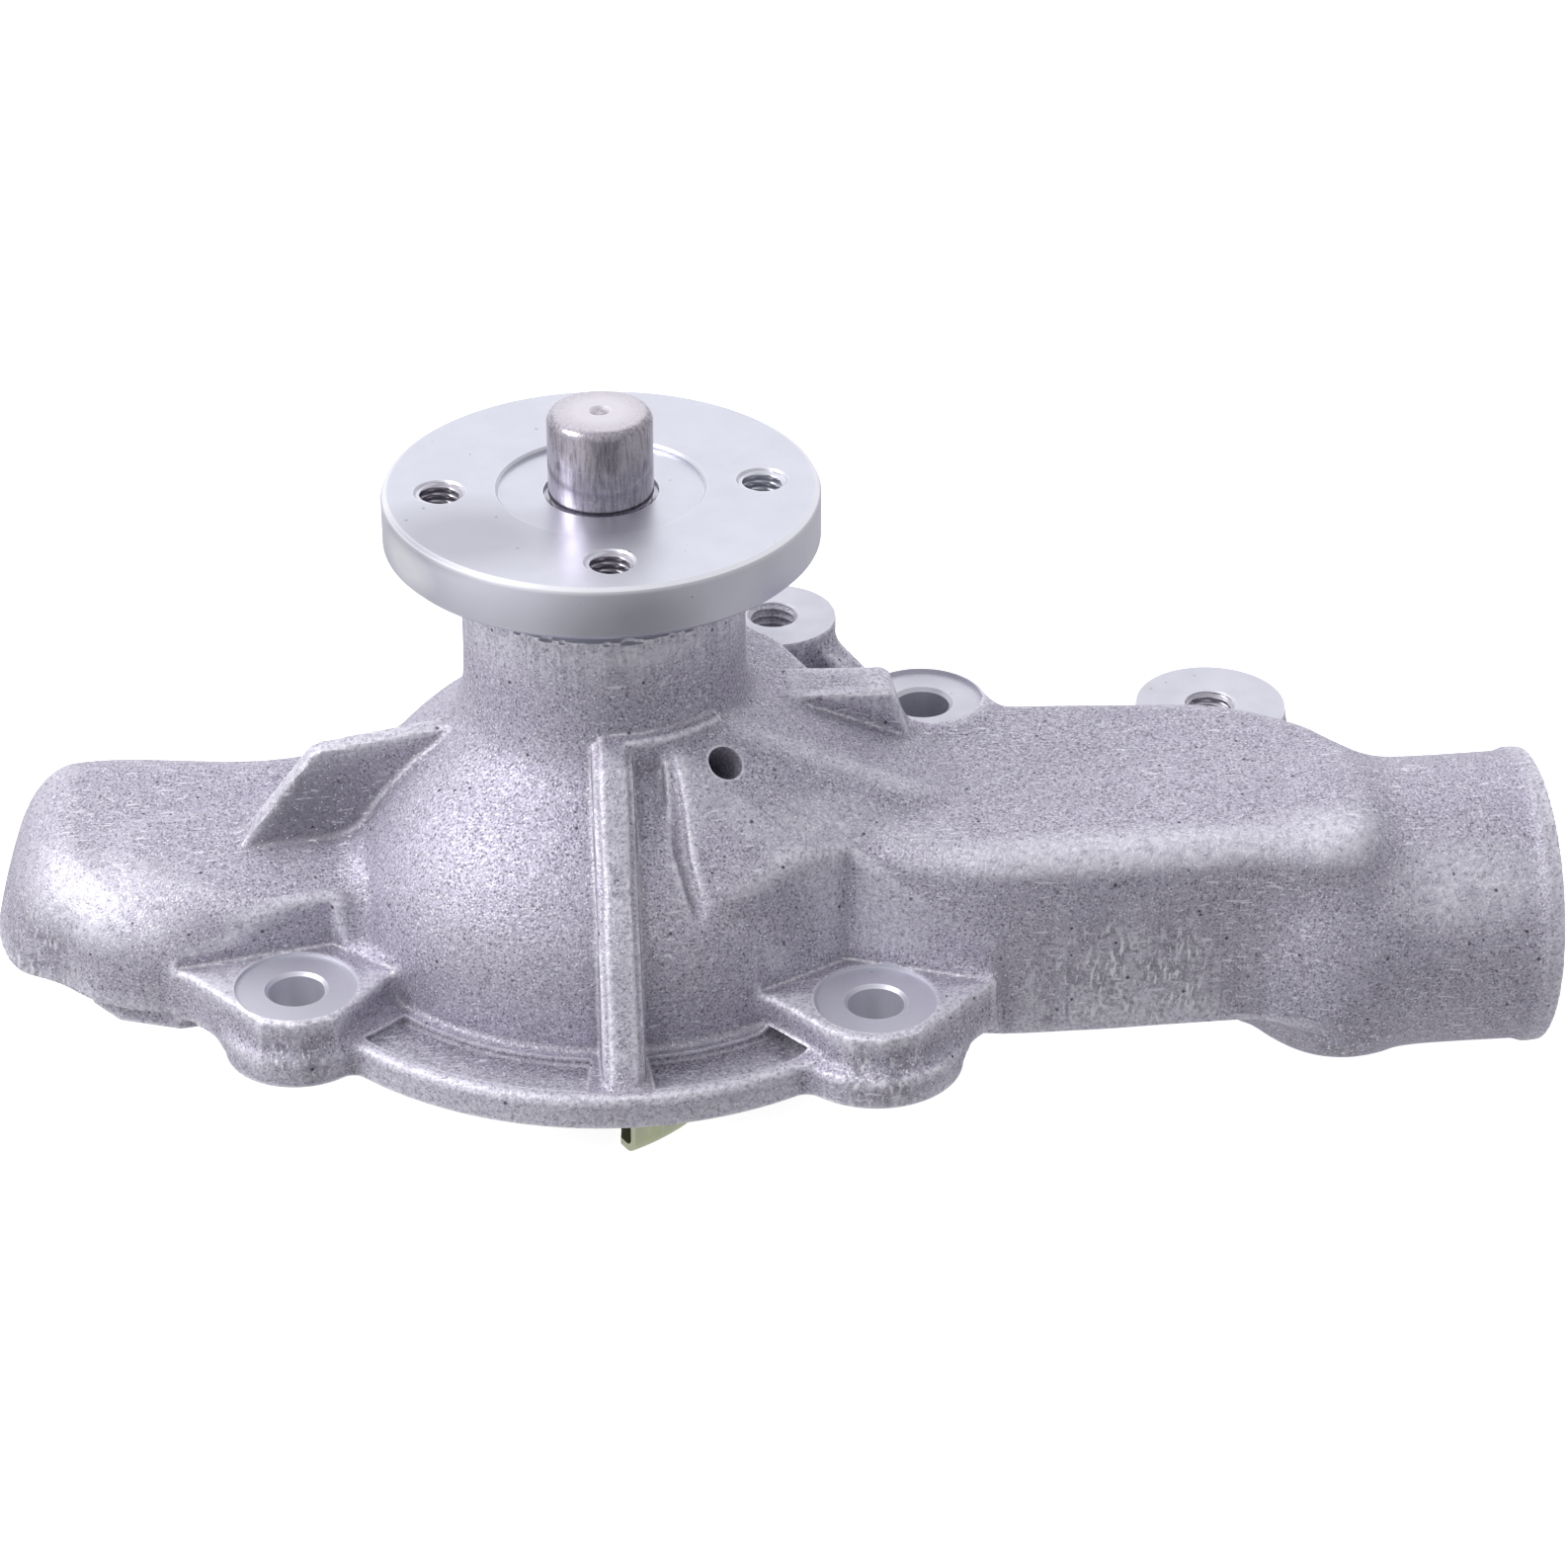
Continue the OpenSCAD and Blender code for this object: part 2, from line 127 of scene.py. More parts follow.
def join(a, b, fillet):
    """Both shapes, with a fillet of that radius where they meet."""
    if not fillet:
        return np.minimum(a, b)
    corner = np.hypot(np.maximum(fillet - a, 0), np.maximum(fillet - b, 0))
    return np.maximum(fillet, np.minimum(a, b)) - corner


def meet(a, b, edge):
    """What both shapes share, with its edge rounded to that radius."""
    return -join(-a, -b, edge)


def lookup(points, q, h):
    """Distances to an outline, at any array q of its first coordinate and a row h of its second.

    The row becomes the last axis.
    """
    qs = np.arange(q.min() - 1, q.max() + 1.5, LOOKUP_STEP, dtype=np.float32)
    table = outline_distance(points, qs[:, None], h[None, :])
    at = (q - qs[0]) / LOOKUP_STEP
    k = at.astype(int)
    part = (at - k)[..., None]
    return table[k] * (1 - part) + table[k + 1] * part


def turned(points, centre=(0, 0)):
    """A shape turned about an upright axis, from [radius, z] points."""
    p = np.array(points, np.float32)
    r = p[:, 0].max()
    lo = (centre[0] - r, centre[1] - r, p[:, 1].min())
    hi = (centre[0] + r, centre[1] + r, p[:, 1].max())

    def at(x, y, z):
        return lookup(p, np.hypot(x - centre[0], y - centre[1])[:, :, 0], z.ravel())

    return lo, hi, at


def turned_on_neck(points):
    """A shape turned about the neck's axis, from [radius, x] points."""
    p = np.array(points, np.float32)
    r = p[:, 0].max()
    lo = (p[:, 1].min(), NECK_Y - r, NECK_Z - r)
    hi = (p[:, 1].max(), NECK_Y + r, NECK_Z + r)

    def at(x, y, z):
        return np.moveaxis(lookup(p, np.hypot(y - NECK_Y, z - NECK_Z)[0], x.ravel()), 2, 0)

    return lo, hi, at


def block(outline, z0, z1, edge=0.0, draft=0.0, slope=(0.0, 0.0), foot=0.0):
    """An upright block.

    Its walls lean in by draft, and its top is z1 at the axis and tilts by slope.
    """
    p = np.array(outline, np.float32)
    top = max(z1 + slope[0] * a + slope[1] * b for a, b in p)
    lo, hi = (*p.min(0), z0), (*p.max(0), top)

    def at(x, y, z):
        side = outline_distance(p, x[:, :, 0], y[:, :, 0])[:, :, None] + draft * (z - z0)
        lid = (z - z1 - slope[0] * x - slope[1] * y) / math.hypot(1, *slope)
        return meet(meet(side, lid, edge), z0 - z, foot)

    return lo, hi, at


def boss(centre, r, z0, z1, edge=0.0, draft=0.0):
    """A round upright boss."""
    lo = (centre[0] - r, centre[1] - r, z0)
    hi = (centre[0] + r, centre[1] + r, z1)

    def at(x, y, z):
        side = np.hypot(x - centre[0], y - centre[1]) - r + draft * (z - z0)
        return meet(meet(side, z - z1, edge), z0 - z, 0)

    return lo, hi, at


def web(points, angle, half, centre=(0, 0), edge=0.0, draft=0.0):
    """An upright web at an angle to +X, from [distance, z] points.

    half is half its thickness at the top, which grows by draft on the way down.
    """
    p = np.array(points, np.float32)
    c, s = math.cos(math.radians(angle)), math.sin(math.radians(angle))
    ends = [(centre[0] + c * q, centre[1] + s * q) for q in (p[:, 0].min(), p[:, 0].max())]
    pad = half + 4
    lo = (min(e[0] for e in ends) - pad, min(e[1] for e in ends) - pad, p[:, 1].min())
    hi = (max(e[0] for e in ends) + pad, max(e[1] for e in ends) + pad, p[:, 1].max())

    def at(x, y, z):
        dx, dy = x - centre[0], y - centre[1]
        along, across = (c * dx + s * dy)[:, :, 0], c * dy - s * dx
        side = np.abs(across) - half - draft * (p[:, 1].max() - z)
        return meet(lookup(p, along, z.ravel()), side, edge)

    return lo, hi, at


def rod(a, b, r):
    """A round bar with ball ends."""
    a, b = np.array(a, float), np.array(b, float)
    lo, hi = np.minimum(a, b) - r, np.maximum(a, b) + r

    def at(x, y, z):
        q = (x - a[0], y - a[1], z - a[2])
        t = np.clip(sum(u * v for u, v in zip(q, b - a)) / np.dot(b - a, b - a), 0, 1)
        return np.sqrt(sum((u - t * v) ** 2 for u, v in zip(q, b - a))) - r

    return tuple(lo), tuple(hi), at


def half_space(normal, point):
    """All that lies behind a plane."""
    n = np.array(normal, float)
    n /= np.linalg.norm(n)

    def at(x, y, z):
        return n[0] * (x - point[0]) + n[1] * (y - point[1]) + n[2] * (z - point[2])

    return at


def bounded(shape, cuts, edge):
    """The shape inside all the half spaces."""
    lo, hi, base = shape

    def at(x, y, z):
        d = base(x, y, z)
        for c in cuts:
            d = meet(d, c(x, y, z), edge)
        return d

    return lo, hi, at


class Casting:
    """A field of distances on a grid."""

    low = np.array((-124.0, -76.0, -26.0))
    high = np.array((180.0, 78.0, 82.0))

    def __init__(self):
        self.axes = [np.arange(a, b, STEP, dtype=np.float32) for a, b in zip(self.low, self.high)]
        self.d = np.full([len(a) for a in self.axes], REACH, np.float32)

    def _part(self, shape):
        """The part of the grid around a shape, and the shape's distances there."""
        lo, hi, at = shape
        where = tuple(
            slice(*np.searchsorted(a, (l - REACH, h + REACH))) for a, l, h in zip(self.axes, lo, hi)
        )
        x, y, z = (a[w] for a, w in zip(self.axes, where))
        return where, at(x[:, None, None], y[None, :, None], z[None, None, :])

    def add(self, shape, fillet=0.0):
        """Joins a shape on."""
        where, d = self._part(shape)
        self.d[where] = join(self.d[where], d, fillet)

    def cut(self, shape, edge=0.0):
        """Takes a shape away."""
        where, d = self._part(shape)
        self.d[where] = -join(-self.d[where], d, edge)

    def mesh(self, name):
        """The surface where the distance is 0, in metres."""
        grid = openvdb.FloatGrid(REACH)
        grid.copyFromArray(np.ascontiguousarray(self.d))
        points, quads = grid.convertToQuads(0.0)
        co = points.astype(np.float64) * STEP + np.array([a[0] for a in self.axes])
        m = bpy.data.meshes.new(name)
        m.from_pydata((co * MM).tolist(), [], quads[:, ::-1].tolist())
        m.validate()
        return m


def smoothed(d, passes):
    """The field averaged over a few cells."""
    for _ in range(passes):
        for axis in range(3):
            a = np.moveaxis(d, axis, 0)
            b = a.copy()
            b[1:-1] = (a[:-2] + 2 * a[1:-1] + a[2:]) / 4
            d = np.moveaxis(b, 0, axis)
    return d


def sample(d, axes, co):
    """The field at any points, in millimetres."""
    at = (co - np.array([a[0] for a in axes])) / STEP
    k = np.clip(at.astype(int), 0, np.array(d.shape) - 2)
    f = np.clip(at - k, 0, 1)
    out = np.zeros(len(co))
    for corner in np.ndindex(2, 2, 2):
        share = [f[:, axis] if up else 1 - f[:, axis] for axis, up in enumerate(corner)]
        i, j, l = (k + corner).T
        out += share[0] * share[1] * share[2] * d[i, j, l]
    return out


# ---------- The cast housing ----------


def add_dome(metal):
    """The mounting flange, and the dome with the snout on it."""
    edge = [(FLANGE_R - 0.2, -1), (FLANGE_R, 0), (FLANGE_R, 4.8), (FLANGE_R - 0.44, 5.86)]
    metal.add(turned([(0, -1)] + edge + [(FLANGE_R - 1.5, FLANGE_T), (0, FLANGE_T)]))
    profile = [(DOME_R, 5), (DOME_R, 14), (49.8, 21), (48, 27), (44.5, 33), (40.5, 38), (36, 42.5)]
    profile += [(31, 46.5), (27.6, 51), (26.1, 56), (SNOUT_R, 62)]
    profile = curve(profile, closed=False).tolist()
    top = [(SNOUT_R, SNOUT_TOP + 0.4), (0, SNOUT_TOP + 0.4)]
    metal.add(turned([(0, 0), (DOME_R, 0)] + profile + top), 1.4)


def add_left_arm(metal):
    """The left arm, which slopes down to the front."""
    slope = (0.0, 0.25)
    outline = [(-30, -17), (-52, -20.5), (-68, -23.5), (-82, -25), (-95, -20.5), (-103, -13)]
    outline += [(-112, -6.5), (-116, 2), (-114.5, 14), (-106, 23), (-92, 25.5), (-64, 23)]
    outline = curve(outline + [(-40, 25), (-20, 14)])
    arm = block(outline, 3.6, 28.6, edge=10, draft=0.04, slope=slope, foot=0.6)
    metal.add(bounded(arm, [half_space((-0.9, -0.1, 0.43), (-105.5, 9.5, 31))], 7), 5)
    # its front wall is steeper beside the dome
    wall = [(-90, -9), (-78, -17.5), (-66, -21.6), (-55, -21), (-47, -18), (-44, -8), (-60, 2)]
    metal.add(block(curve(wall + [(-86, 2)]), 4, 28.5, edge=3, slope=slope), 4)
    # the land around its port
    land = [(-20, -17), (-52, -20.2), (-81, -24.6), (-92, -20.5), (-97, -14), (-99, -2), (-98, 10)]
    metal.add(block(land + [(-92, 18), (-60, 19), (-20, 20)], -1, 4.6, edge=0.8), 0.6)


def add_right_arm(metal):
    """The right arm, the round end that the neck grows from, and the neck."""
    outline = [(18, -18), (30, -27), (41, -35.5), (54, -40.5), (67, -44.2), (84, -45)]
    outline += [(112, -44.8), (120, -45.6), (128, -46.6), (134, -45.6), (138.5, -40)]
    outline += [(140, -31), (140, -21)]
    outline += [(139, -11), (135, -1), (126, 6.5), (117, 11), (106, 13), (74, 16), (50, 19)]
    outline = curve(outline + [(20, 20)])
    metal.add(block(outline, 0.4, ARM_TOP, edge=5.5, draft=0.035, foot=0.8), 6)
    swell = [(0, 104), (12, 106), (17.5, 110), (20.4, 114.5), (21.7, 117.4), (24.3, 121.1)]
    swell += [(26.4, 124.8), (27.8, 128.6), (28.5, 132.4), (28.6, 136.2), (28.1, 140.2)]
    swell += [(27.3, 143.4), (26.95, 148), (26.9, 156), (NECK_R, 166)]
    swell = curve(swell, closed=False).tolist()
    lip = [(NECK_R + 0.7, 168), (NECK_R + 0.5, NECK_END), (0, NECK_END)]
    metal.add(turned_on_neck(swell + lip), 4)


def add_shoulder(metal):
    """The shoulder beside the snout: it falls to the right arm, and stands proud of the dome."""
    outline = [(8, -20), (8, -37), (15, -44), (26, -41), (41, -35.5), (66, -44), (78, -40), (80, 0)]
    outline += [(58, 9), (41, 10.5), (36.5, 17.5), (31, 26), (20, 34), (0, 28)]
    faces = [
        half_space((0.39, 0, 0.92), (32, 0, 50.4)),
        half_space((0, -0.82, 0.573), (12, -39, 38)),
        half_space((0.30, -0.55, 0.78), (19.4, -26.6, 51)),
        half_space((-0.57, -0.716, 0.404), (10.5, -39, 38)),
    ]
    metal.add(bounded(block(outline, 10, 57.3, edge=0.8), faces, 1.2), 1.0)
    # a ledge goes on from its top to the rib
    ledge = turned([(18, 49), (27.9, 49), (27.9, 56.6), (27.4, 57.2), (18, 57.2)])
    sector = [half_space((-1, 0, 0), (1, 0, 0)), half_space((1, 1, 0), (0, 0, 0))]
    metal.add(bounded(ledge, sector, 0.5), 0.8)


def add_ribs(metal):
    """The front rib with its broader root, the left arm's gusset, and the stub on the right."""
    rib = [(63.3, 6.3), (61.8, 9), (57.2, 17.5), (52.4, 27), (46, 37), (39.4, 46), (32.8, 54.6)]
    root = [(r - 0.9, z - 0.7) for r, z in rib]
    rib = [(20, 2), (63.3, 2)] + rib + [(25.5, 57.6), (20, 57.6)]
    root = [(20, 2), (62.4, 2)] + root + [(24, 56.6), (20, 56.6)]
    metal.add(web(rib, RIB_ANGLE, 2.4, edge=0.4, draft=0.004), 0.4)
    metal.add(web(root, RIB_ANGLE, 3.6, edge=0.5, draft=0.004), 0.7)
    # the crease between the rib and the shoulder
    metal.cut(rod((9.3, -28.5, 54), (10.3, -38, 39.5), 1.5), 0.3)
    metal.cut(rod((10.3, -38, 39.5), (12.8, -45, 30.5), 1.3), 0.3)
    gusset = [(20, 4), (72, 4), (74, 22), (70.6, 25.5), (54.6, 45.6), (52.6, 46.4), (29.5, 48.9)]
    metal.add(web(gusset + [(20, 49.2)], GUSSET_ANGLE, 2.0, edge=0.6, draft=0.02), 1.0)
    stub = [(18, 20), (59.5, 20), (57.5, 37), (53.4, 49), (52, 49.8), (18, 51)]
    metal.add(web(stub, 0, 5.3, centre=(0, 2.6), edge=0.5, draft=0.03), 0.7)


def add_pads(metal):
    """The rear bolt's boss, and the two threaded pads with what ties them to the body."""
    metal.add(boss(REAR_BOLT, 12.3, -1, ARM_TOP + 0.2, edge=1.0), 4)
    metal.add(boss(PAD_A, 11.6, -1, PAD_A_Z + 0.6, edge=0.8, draft=-0.01), 3)
    tie = [(0, 4), (32, 4), (32, 33), (25, 35), (10.5, 45), (0, 45)]
    metal.add(web(tie, -38, 3.0, centre=PAD_A, edge=1.2, draft=0.02), 2)
    metal.add(boss(PAD_C, 14, 3, PAD_C_Z + 0.6, edge=0.8, draft=-0.02), 3)
    foot = [(106, 0), (106, 20), (108, 27), (130, 27), (133, 20), (133, 0)]
    metal.add(block(foot, 3, PAD_C_Z - 3, edge=2.5), 4)


def add_ears(metal):
    """The three ears with their bolts' bosses, and the flat tops of the front two."""
    right = [(23.4, -44.2), (34.2, -57.6), (38, -61), (44.1, -62.2), (50.4, -60.2), (54.6, -56.4)]
    right += [(66.4, -45.4), (56, -34), (40.5, -30), (26, -36)]
    left = [(-81, -24.7), (-72, -36), (-66.5, -43.5), (-59.5, -45.6), (-52.5, -43.6), (-48, -38)]
    left += [(-41.4, -29.2), (-42, -16), (-60, -12), (-78, -14)]
    back = [(-46, 40), (-36, 58.5), (-31.5, 66.2), (-26, 71.6), (-20, 73), (-13.5, 71.4)]
    back += [(-8.5, 67), (5, 61), (5, 30), (-30, 30)]
    form = {"edge": 1.5, "draft": 0.02}
    metal.add(block(right, 3, EAR_H + 0.5, **form), 3)
    metal.add(boss(EAR_RIGHT, 16, -1, 5.6, edge=1.2), 2.5)
    metal.add(block(left, 3, EAR_H + 0.5, **form), 3)
    metal.add(boss(EAR_LEFT, 13.4, -1, 5.6, edge=1.2), 2.5)
    metal.add(block(back, -1, EAR_H + 0.5, **form), 3)
    for outline in (DIAMOND_LEFT, DIAMOND_RIGHT):
        metal.cut(block(outline, EAR_H, 60), 0.3)


def hollow(metal):
    """The water spaces: impeller chamber, right arm, neck and the left arm's port."""
    room = Casting()
    wall = [(CHAMBER_R, 12), (45.6, 20), (43.5, 25), (39, 30), (35, 34), (31, 36)]
    wall = [(0, -4), (CHAMBER_R, -4)] + curve(wall, closed=False).tolist()
    tower = [(25.6, 36), (TOWER_R, 33), (TOWER_R, TOWER_Z), (0, TOWER_Z)]
    room.add(turned(wall + tower))
    for a, b in (((34, -27, -5), (66, -38.5, -4.5)), ((66, -38.5, -4.5), (124, -37.5, -13))):
        side = [(a[0], a[1]), (b[0] + 2, b[1]), (b[0] + 2, b[2]), (a[0], a[2])]
        room.add(block(side, 6, 32, edge=5, foot=5), 3)
    bore = [(0, 118), (13, 120), (19, 123), (NECK_BORE, 129), (NECK_BORE, 175), (0, 175)]
    room.add(turned_on_neck(bore), 3)
    port = [(-93, -7), (-70, -12), (-50, -11), (-32, -10), (-30, 8), (-50, 9), (-72, 8), (-92, 11)]
    room.add(block(curve(port + [(-100, 4)]), -4, 17, edge=5), 3)
    for centre, r in ((REAR_BOLT, 10.5), (PAD_A, 8.5)):
        room.cut(boss(centre, r, -6, 60), 2)
    metal.d = np.maximum(metal.d, -room.d)


# ---------- Meshes ----------


def new_object(name, mesh, *materials):
    """An object in the scene with the mesh and its materials."""
    for m in materials:
        mesh.materials.append(m)
    obj = bpy.data.objects.new(name, mesh)
    bpy.context.scene.collection.objects.link(obj)
    return obj


def round_about(centre, r, segments):
    """Points on a circle."""
    turn = (2 * math.pi * k / segments for k in range(segments))
    return [(centre[0] + r * math.cos(a), centre[1] + r * math.sin(a)) for a in turn]


def on_circle(r, angle):
    """The point of a circle about the shaft at an angle in degrees."""
    a = math.radians(angle)
    return r * math.cos(a), r * math.sin(a)


def cylinder(r, low, high):
    """A cylinder's outline, as [radius, z] points."""
    return [(0, low), (r, low), (r, high), (0, high)]


def finished_mesh(name, bm):
    """The mesh in metres, with its faces turned outwards."""
    bmesh.ops.recalc_face_normals(bm, faces=bm.faces)
    bmesh.ops.scale(bm, vec=(MM, MM, MM), verts=bm.verts)
    mesh = bpy.data.meshes.new(name)
    bm.to_mesh(mesh)
    bm.free()
    return mesh


def lathe_mesh(name, points, centre=(0.0, 0.0), segments=96):
    """A closed solid turned about an upright axis, from [radius, z] points.

    The first and the last point are on the axis.
    """
    bm = bmesh.new()
    rings = []
    for r, z in points:
        ring = [centre] if r < 1e-6 else round_about(centre, r, segments)
        rings.append([bm.verts.new((x, y, z)) for x, y in ring])
    for low, high in zip(rings, rings[1:]):
        for k in range(segments):
            n = (k + 1) % segments
            face = [low[k % len(low)], low[n % len(low)], high[n % len(high)], high[k % len(high)]]
            bm.faces.new(list(dict.fromkeys(face)))
    return finished_mesh(name, bm)


def prism_mesh(name, outline, z0, z1):
    """A closed upright solid from its outline."""
    bm = bmesh.new()
    low = [bm.verts.new((x, y, z0)) for x, y in outline]
    high = [bm.verts.new((x, y, z1)) for x, y in outline]
    bm.faces.new(low[::-1])
    bm.faces.new(high)
    for k in range(len(outline)):
        n = (k + 1) % len(outline)
        bm.faces.new((low[k], low[n], high[n], high[k]))
    return finished_mesh(name, bm)


def screw_mesh(name, centre, thread_size, z0, z1, segments=40):
    """The solid that a tap leaves room for: a rod with a helical thread."""
    r_in, r_out, pitch = thread_size
    rows_per_turn, flat, steepness = 8, 1.25, 3.2
    bm = bmesh.new()
    rows = int((z1 - z0) / pitch * rows_per_turn) + 1
    rings = []
    for j in range(rows + 1):
        z = z0 + (z1 - z0) * j / rows
        ring = []
        for k in range(segments):
            a = 2 * math.pi * k / segments
            phase = (z / pitch - k / segments) % 1.0
            depth = min(1.0, max(0.0, flat - abs(phase - 0.5) * steepness))
            r = r_in + (r_out - r_in) * depth
            x, y = centre[0] + r * math.cos(a), centre[1] + r * math.sin(a)
            ring.append(bm.verts.new((x, y, z)))
        rings.append(ring)
    for low, high in zip(rings, rings[1:]):
        for k in range(segments):
            n = (k + 1) % segments
            bm.faces.new((low[k], low[n], high[n], high[k]))
    bm.faces.new(rings[0][::-1])
    bm.faces.new(rings[-1])
    return finished_mesh(name, bm)


def arc(r, start, end, steps, centre=(0.0, 0.0)):
    """Points along an arc, from one angle to another in degrees."""
    turn = (math.radians(start + (end - start) * k / steps) for k in range(steps + 1))
    return [(centre[0] + r * math.cos(a), centre[1] + r * math.sin(a)) for a in turn]


def apply(obj, change):
    """Puts what the modifier makes into obj's mesh."""
    seen = obj.evaluated_get(bpy.context.evaluated_depsgraph_get())
    result = bpy.data.meshes.new_from_object(seen)
    obj.modifiers.remove(change)
    old, obj.data = obj.data, result
    bpy.data.meshes.remove(old)


def carve(obj, mesh, material, how="DIFFERENCE"):
    """Cuts the mesh out of obj, or joins it on. The new faces take the material."""
    cutter = new_object("cutter", mesh, material)
    change = obj.modifiers.new("cut", "BOOLEAN")
    change.operation, change.solver, change.object = how, "MANIFOLD", cutter
    apply(obj, change)
    bpy.data.objects.remove(cutter)
    bpy.data.meshes.remove(mesh)


def cut_turned(obj, points, material, centre=(0.0, 0.0), segments=96):
    """Cuts a turned shape out of obj."""
    carve(obj, lathe_mesh("c", points, centre, segments), material)


def finish_piece(obj, body, node, sharp=35):
    """Smooth shading with sharp edges and level flats, and the piece's place in the frame."""
    bm = bmesh.new()
    bm.from_mesh(obj.data)
    bmesh.ops.triangulate(bm, faces=[face for face in bm.faces if len(face.verts) > 4])
    bm.to_mesh(obj.data)
    bm.free()
    obj.data.set_sharp_from_angle(angle=math.radians(sharp))
    for face in obj.data.polygons:
        as_cast = obj.data.materials[face.material_index] is cast
        face.use_smooth = as_cast or abs(face.normal.z) <= 0.9999
    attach(obj, body)
    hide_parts(node)


# ---------- Materials ----------

# GLINT is a painted glint; the crisp edges' colour is partly wear and partly a painted highlight
GLINT, WORN_BRIGHT, EDGE_WEAR_AND_HIGHLIGHT = (0.95, 0.94, 1.0), (0.86, 0.85, 0.92), (0.97, 0.96, 1.0)
PIT = (0.05, 0.045, 0.055)
# where the casting is rubbed, and where it's scuffed bright with a painted highlight: a middle, and
# the reach each way
WORN = [((92, -46, 12), (26, 14, 17)), ((-108, -10, 9), (13, 13, 12)), ((-60, -46, 6), (9, 9, 9))]
WORN += [((134, -44, -6), (13, 14, 12)), ((44, -62, 6), (12, 6, 8)), ((0, 0, 76), (40, 40, 1.6))]
SCUFFS_AND_HIGHLIGHTS = [((92, -42, 36.5), (50, 8, 5)), ((128, -40, 36), (16, 10, 6))]
SCUFFS_AND_HIGHLIGHTS += [((48, -33, 43), (24, 8, 7)), ((-68, -31, 13), (13, 9, 1.5))]
SCUFFS_AND_HIGHLIGHTS += [((-95, -14, 21), (24, 14, 9)), ((152, -40, 24), (22, 12, 10))]
SCUFFS_AND_HIGHLIGHTS += [((10, -26, 73), (26, 9, 2.5))]
# painted shade on the front face of the left arm's gusset
GUSSET_PAINTED_SHADE = ((-52, -7.2, 36), (24, 2.4, 14))
# painted shade on the hub's face and a painted highlight on its rim at the left, each with a place,
# a size and its colour
HUB_PAINTED_LIGHT = [
    ((-25, -17, 94.4), (24, 17, 3), (0.50, 0.50, 0.56)),
    ((-36, -16, 89), (9, 11, 5.2), (0.96, 0.96, 1.0)),
]
# where the painted highlight on the hub face's edge begins
HUB_HIGHLIGHT_R = 38.4


def scaled(color, factor):
    """A lighter or darker version of the colour."""
    return tuple(c * factor for c in color)


class Paint:
    """A procedural metal, rubber or plastic surface, with its coordinates in millimetres."""

    def __init__(self, name, color, metallic, roughness):
        self.material = bpy.data.materials.new(name)
        self.material.use_nodes = True
        self.tree = self.material.node_tree
        self.shader = self.tree.nodes["Principled BSDF"]
        self.shader.inputs["Metallic"].default_value = metallic
        self.shader.inputs["Roughness"].default_value = roughness
        metres = self.tree.nodes.new("ShaderNodeTexCoord").outputs["Object"]
        self.place = self.stretched((1 / MM, 1 / MM, 1 / MM), metres)
        self.color = None
        self.base = color
        self.height = None

    def node(self, kind, *values, **settings):
        """A node with its settings, and its inputs linked or set in order."""
        n = self.tree.nodes.new("ShaderNode" + kind)
        for setting, value in settings.items():
            setattr(n, setting, value)
        for socket, value in zip(n.inputs, values):
            if isinstance(value, bpy.types.NodeSocket):
                self.tree.links.new(value, socket)
            elif value is not None:
                socket.default_value = value
        return n

    def math(self, how, *values):
        return self.node("Math", *values, operation=how, use_clamp=True).outputs[0]

    def product(self, a, b):
        return self.math("MULTIPLY", a, b)

    def stretched(self, scale, where=None, turn=(0, 0, 0)):
        """The coordinates scaled and turned."""
        return self.node("Mapping", where or self.place, (0, 0, 0), turn, scale).outputs[0]

    def noise(self, size, detail=2.0, where=None):
        """Soft noise with features of about that size."""
        n = self.node("TexNoise", where or self.place)
        n.inputs["Scale"].default_value = 1 / size
        n.inputs["Detail"].default_value = detail
        return n.outputs["Fac"]

    def grains(self, size):
        """A random value for each grain, and the distance to its middle."""
        n = self.node("TexVoronoi", self.place)
        n.inputs["Scale"].default_value = 1 / size
        return self.node("SeparateColor", n.outputs["Color"]).outputs[0], n.outputs["Distance"]

    def ramp(self, value, low, high, to_low=0.0, to_high=1.0):
        """Takes the range from low to high to another range, and stays inside it."""
        return self.node("MapRange", value, low, high, to_low, to_high).outputs[0]

    def near(self, centre, size):
        """1 at a place, falling to 0 at an ellipsoid around it."""
        n = self.node("Mapping", self.place, centre, (0, 0, 0), size, vector_type="TEXTURE")
        far = self.node("VectorMath", n.outputs[0], operation="LENGTH").outputs["Value"]
        return self.ramp(far, 0.35, 1.0, 1.0, 0.0)

    def near_any(self, places):
        """1 at any of the places."""
        area = None
        for centre, size in places:
            here = self.near(centre, size)
            area = here if area is None else self.math("MAXIMUM", area, here)
        return area

    def edges(self, radius):
        """1 at crisp edges."""
        bevel = self.node("Bevel", radius * MM, samples=4).outputs[0]
        flat = self.node("NewGeometry").outputs["Normal"]
        same = self.node("VectorMath", bevel, flat, operation="DOT_PRODUCT").outputs["Value"]
        return self.ramp(same, 0.998, 0.96)

    def tint(self, factor, color):
        """Moves the colour towards another by a factor."""
        m = self.tree.nodes.new("ShaderNodeMix")
        m.data_type = "RGBA"
        self.tree.links.new(factor, m.inputs[0])
        if self.color is None:
            m.inputs[6].default_value = (*self.base, 1)
        else:
            self.tree.links.new(self.color, m.inputs[6])
        m.inputs[7].default_value = (*color, 1)
        self.color = m.outputs[2]

    def bump(self, height, strength, depth):
        """Adds relief of that depth."""
        b = self.tree.nodes.new("ShaderNodeBump")
        b.inputs["Strength"].default_value = strength
        b.inputs["Distance"].default_value = depth * MM
        self.tree.links.new(height, b.inputs["Height"])
        if self.height is not None:
            self.tree.links.new(self.height, b.inputs["Normal"])
        self.height = b.outputs[0]

    def done(self, rough):
        """The material, with its roughness."""
        self.tree.links.new(self.color, self.shader.inputs["Base Color"])
        self.tree.links.new(rough, self.shader.inputs["Roughness"])
        self.tree.links.new(self.height, self.shader.inputs["Normal"])
        return self.material


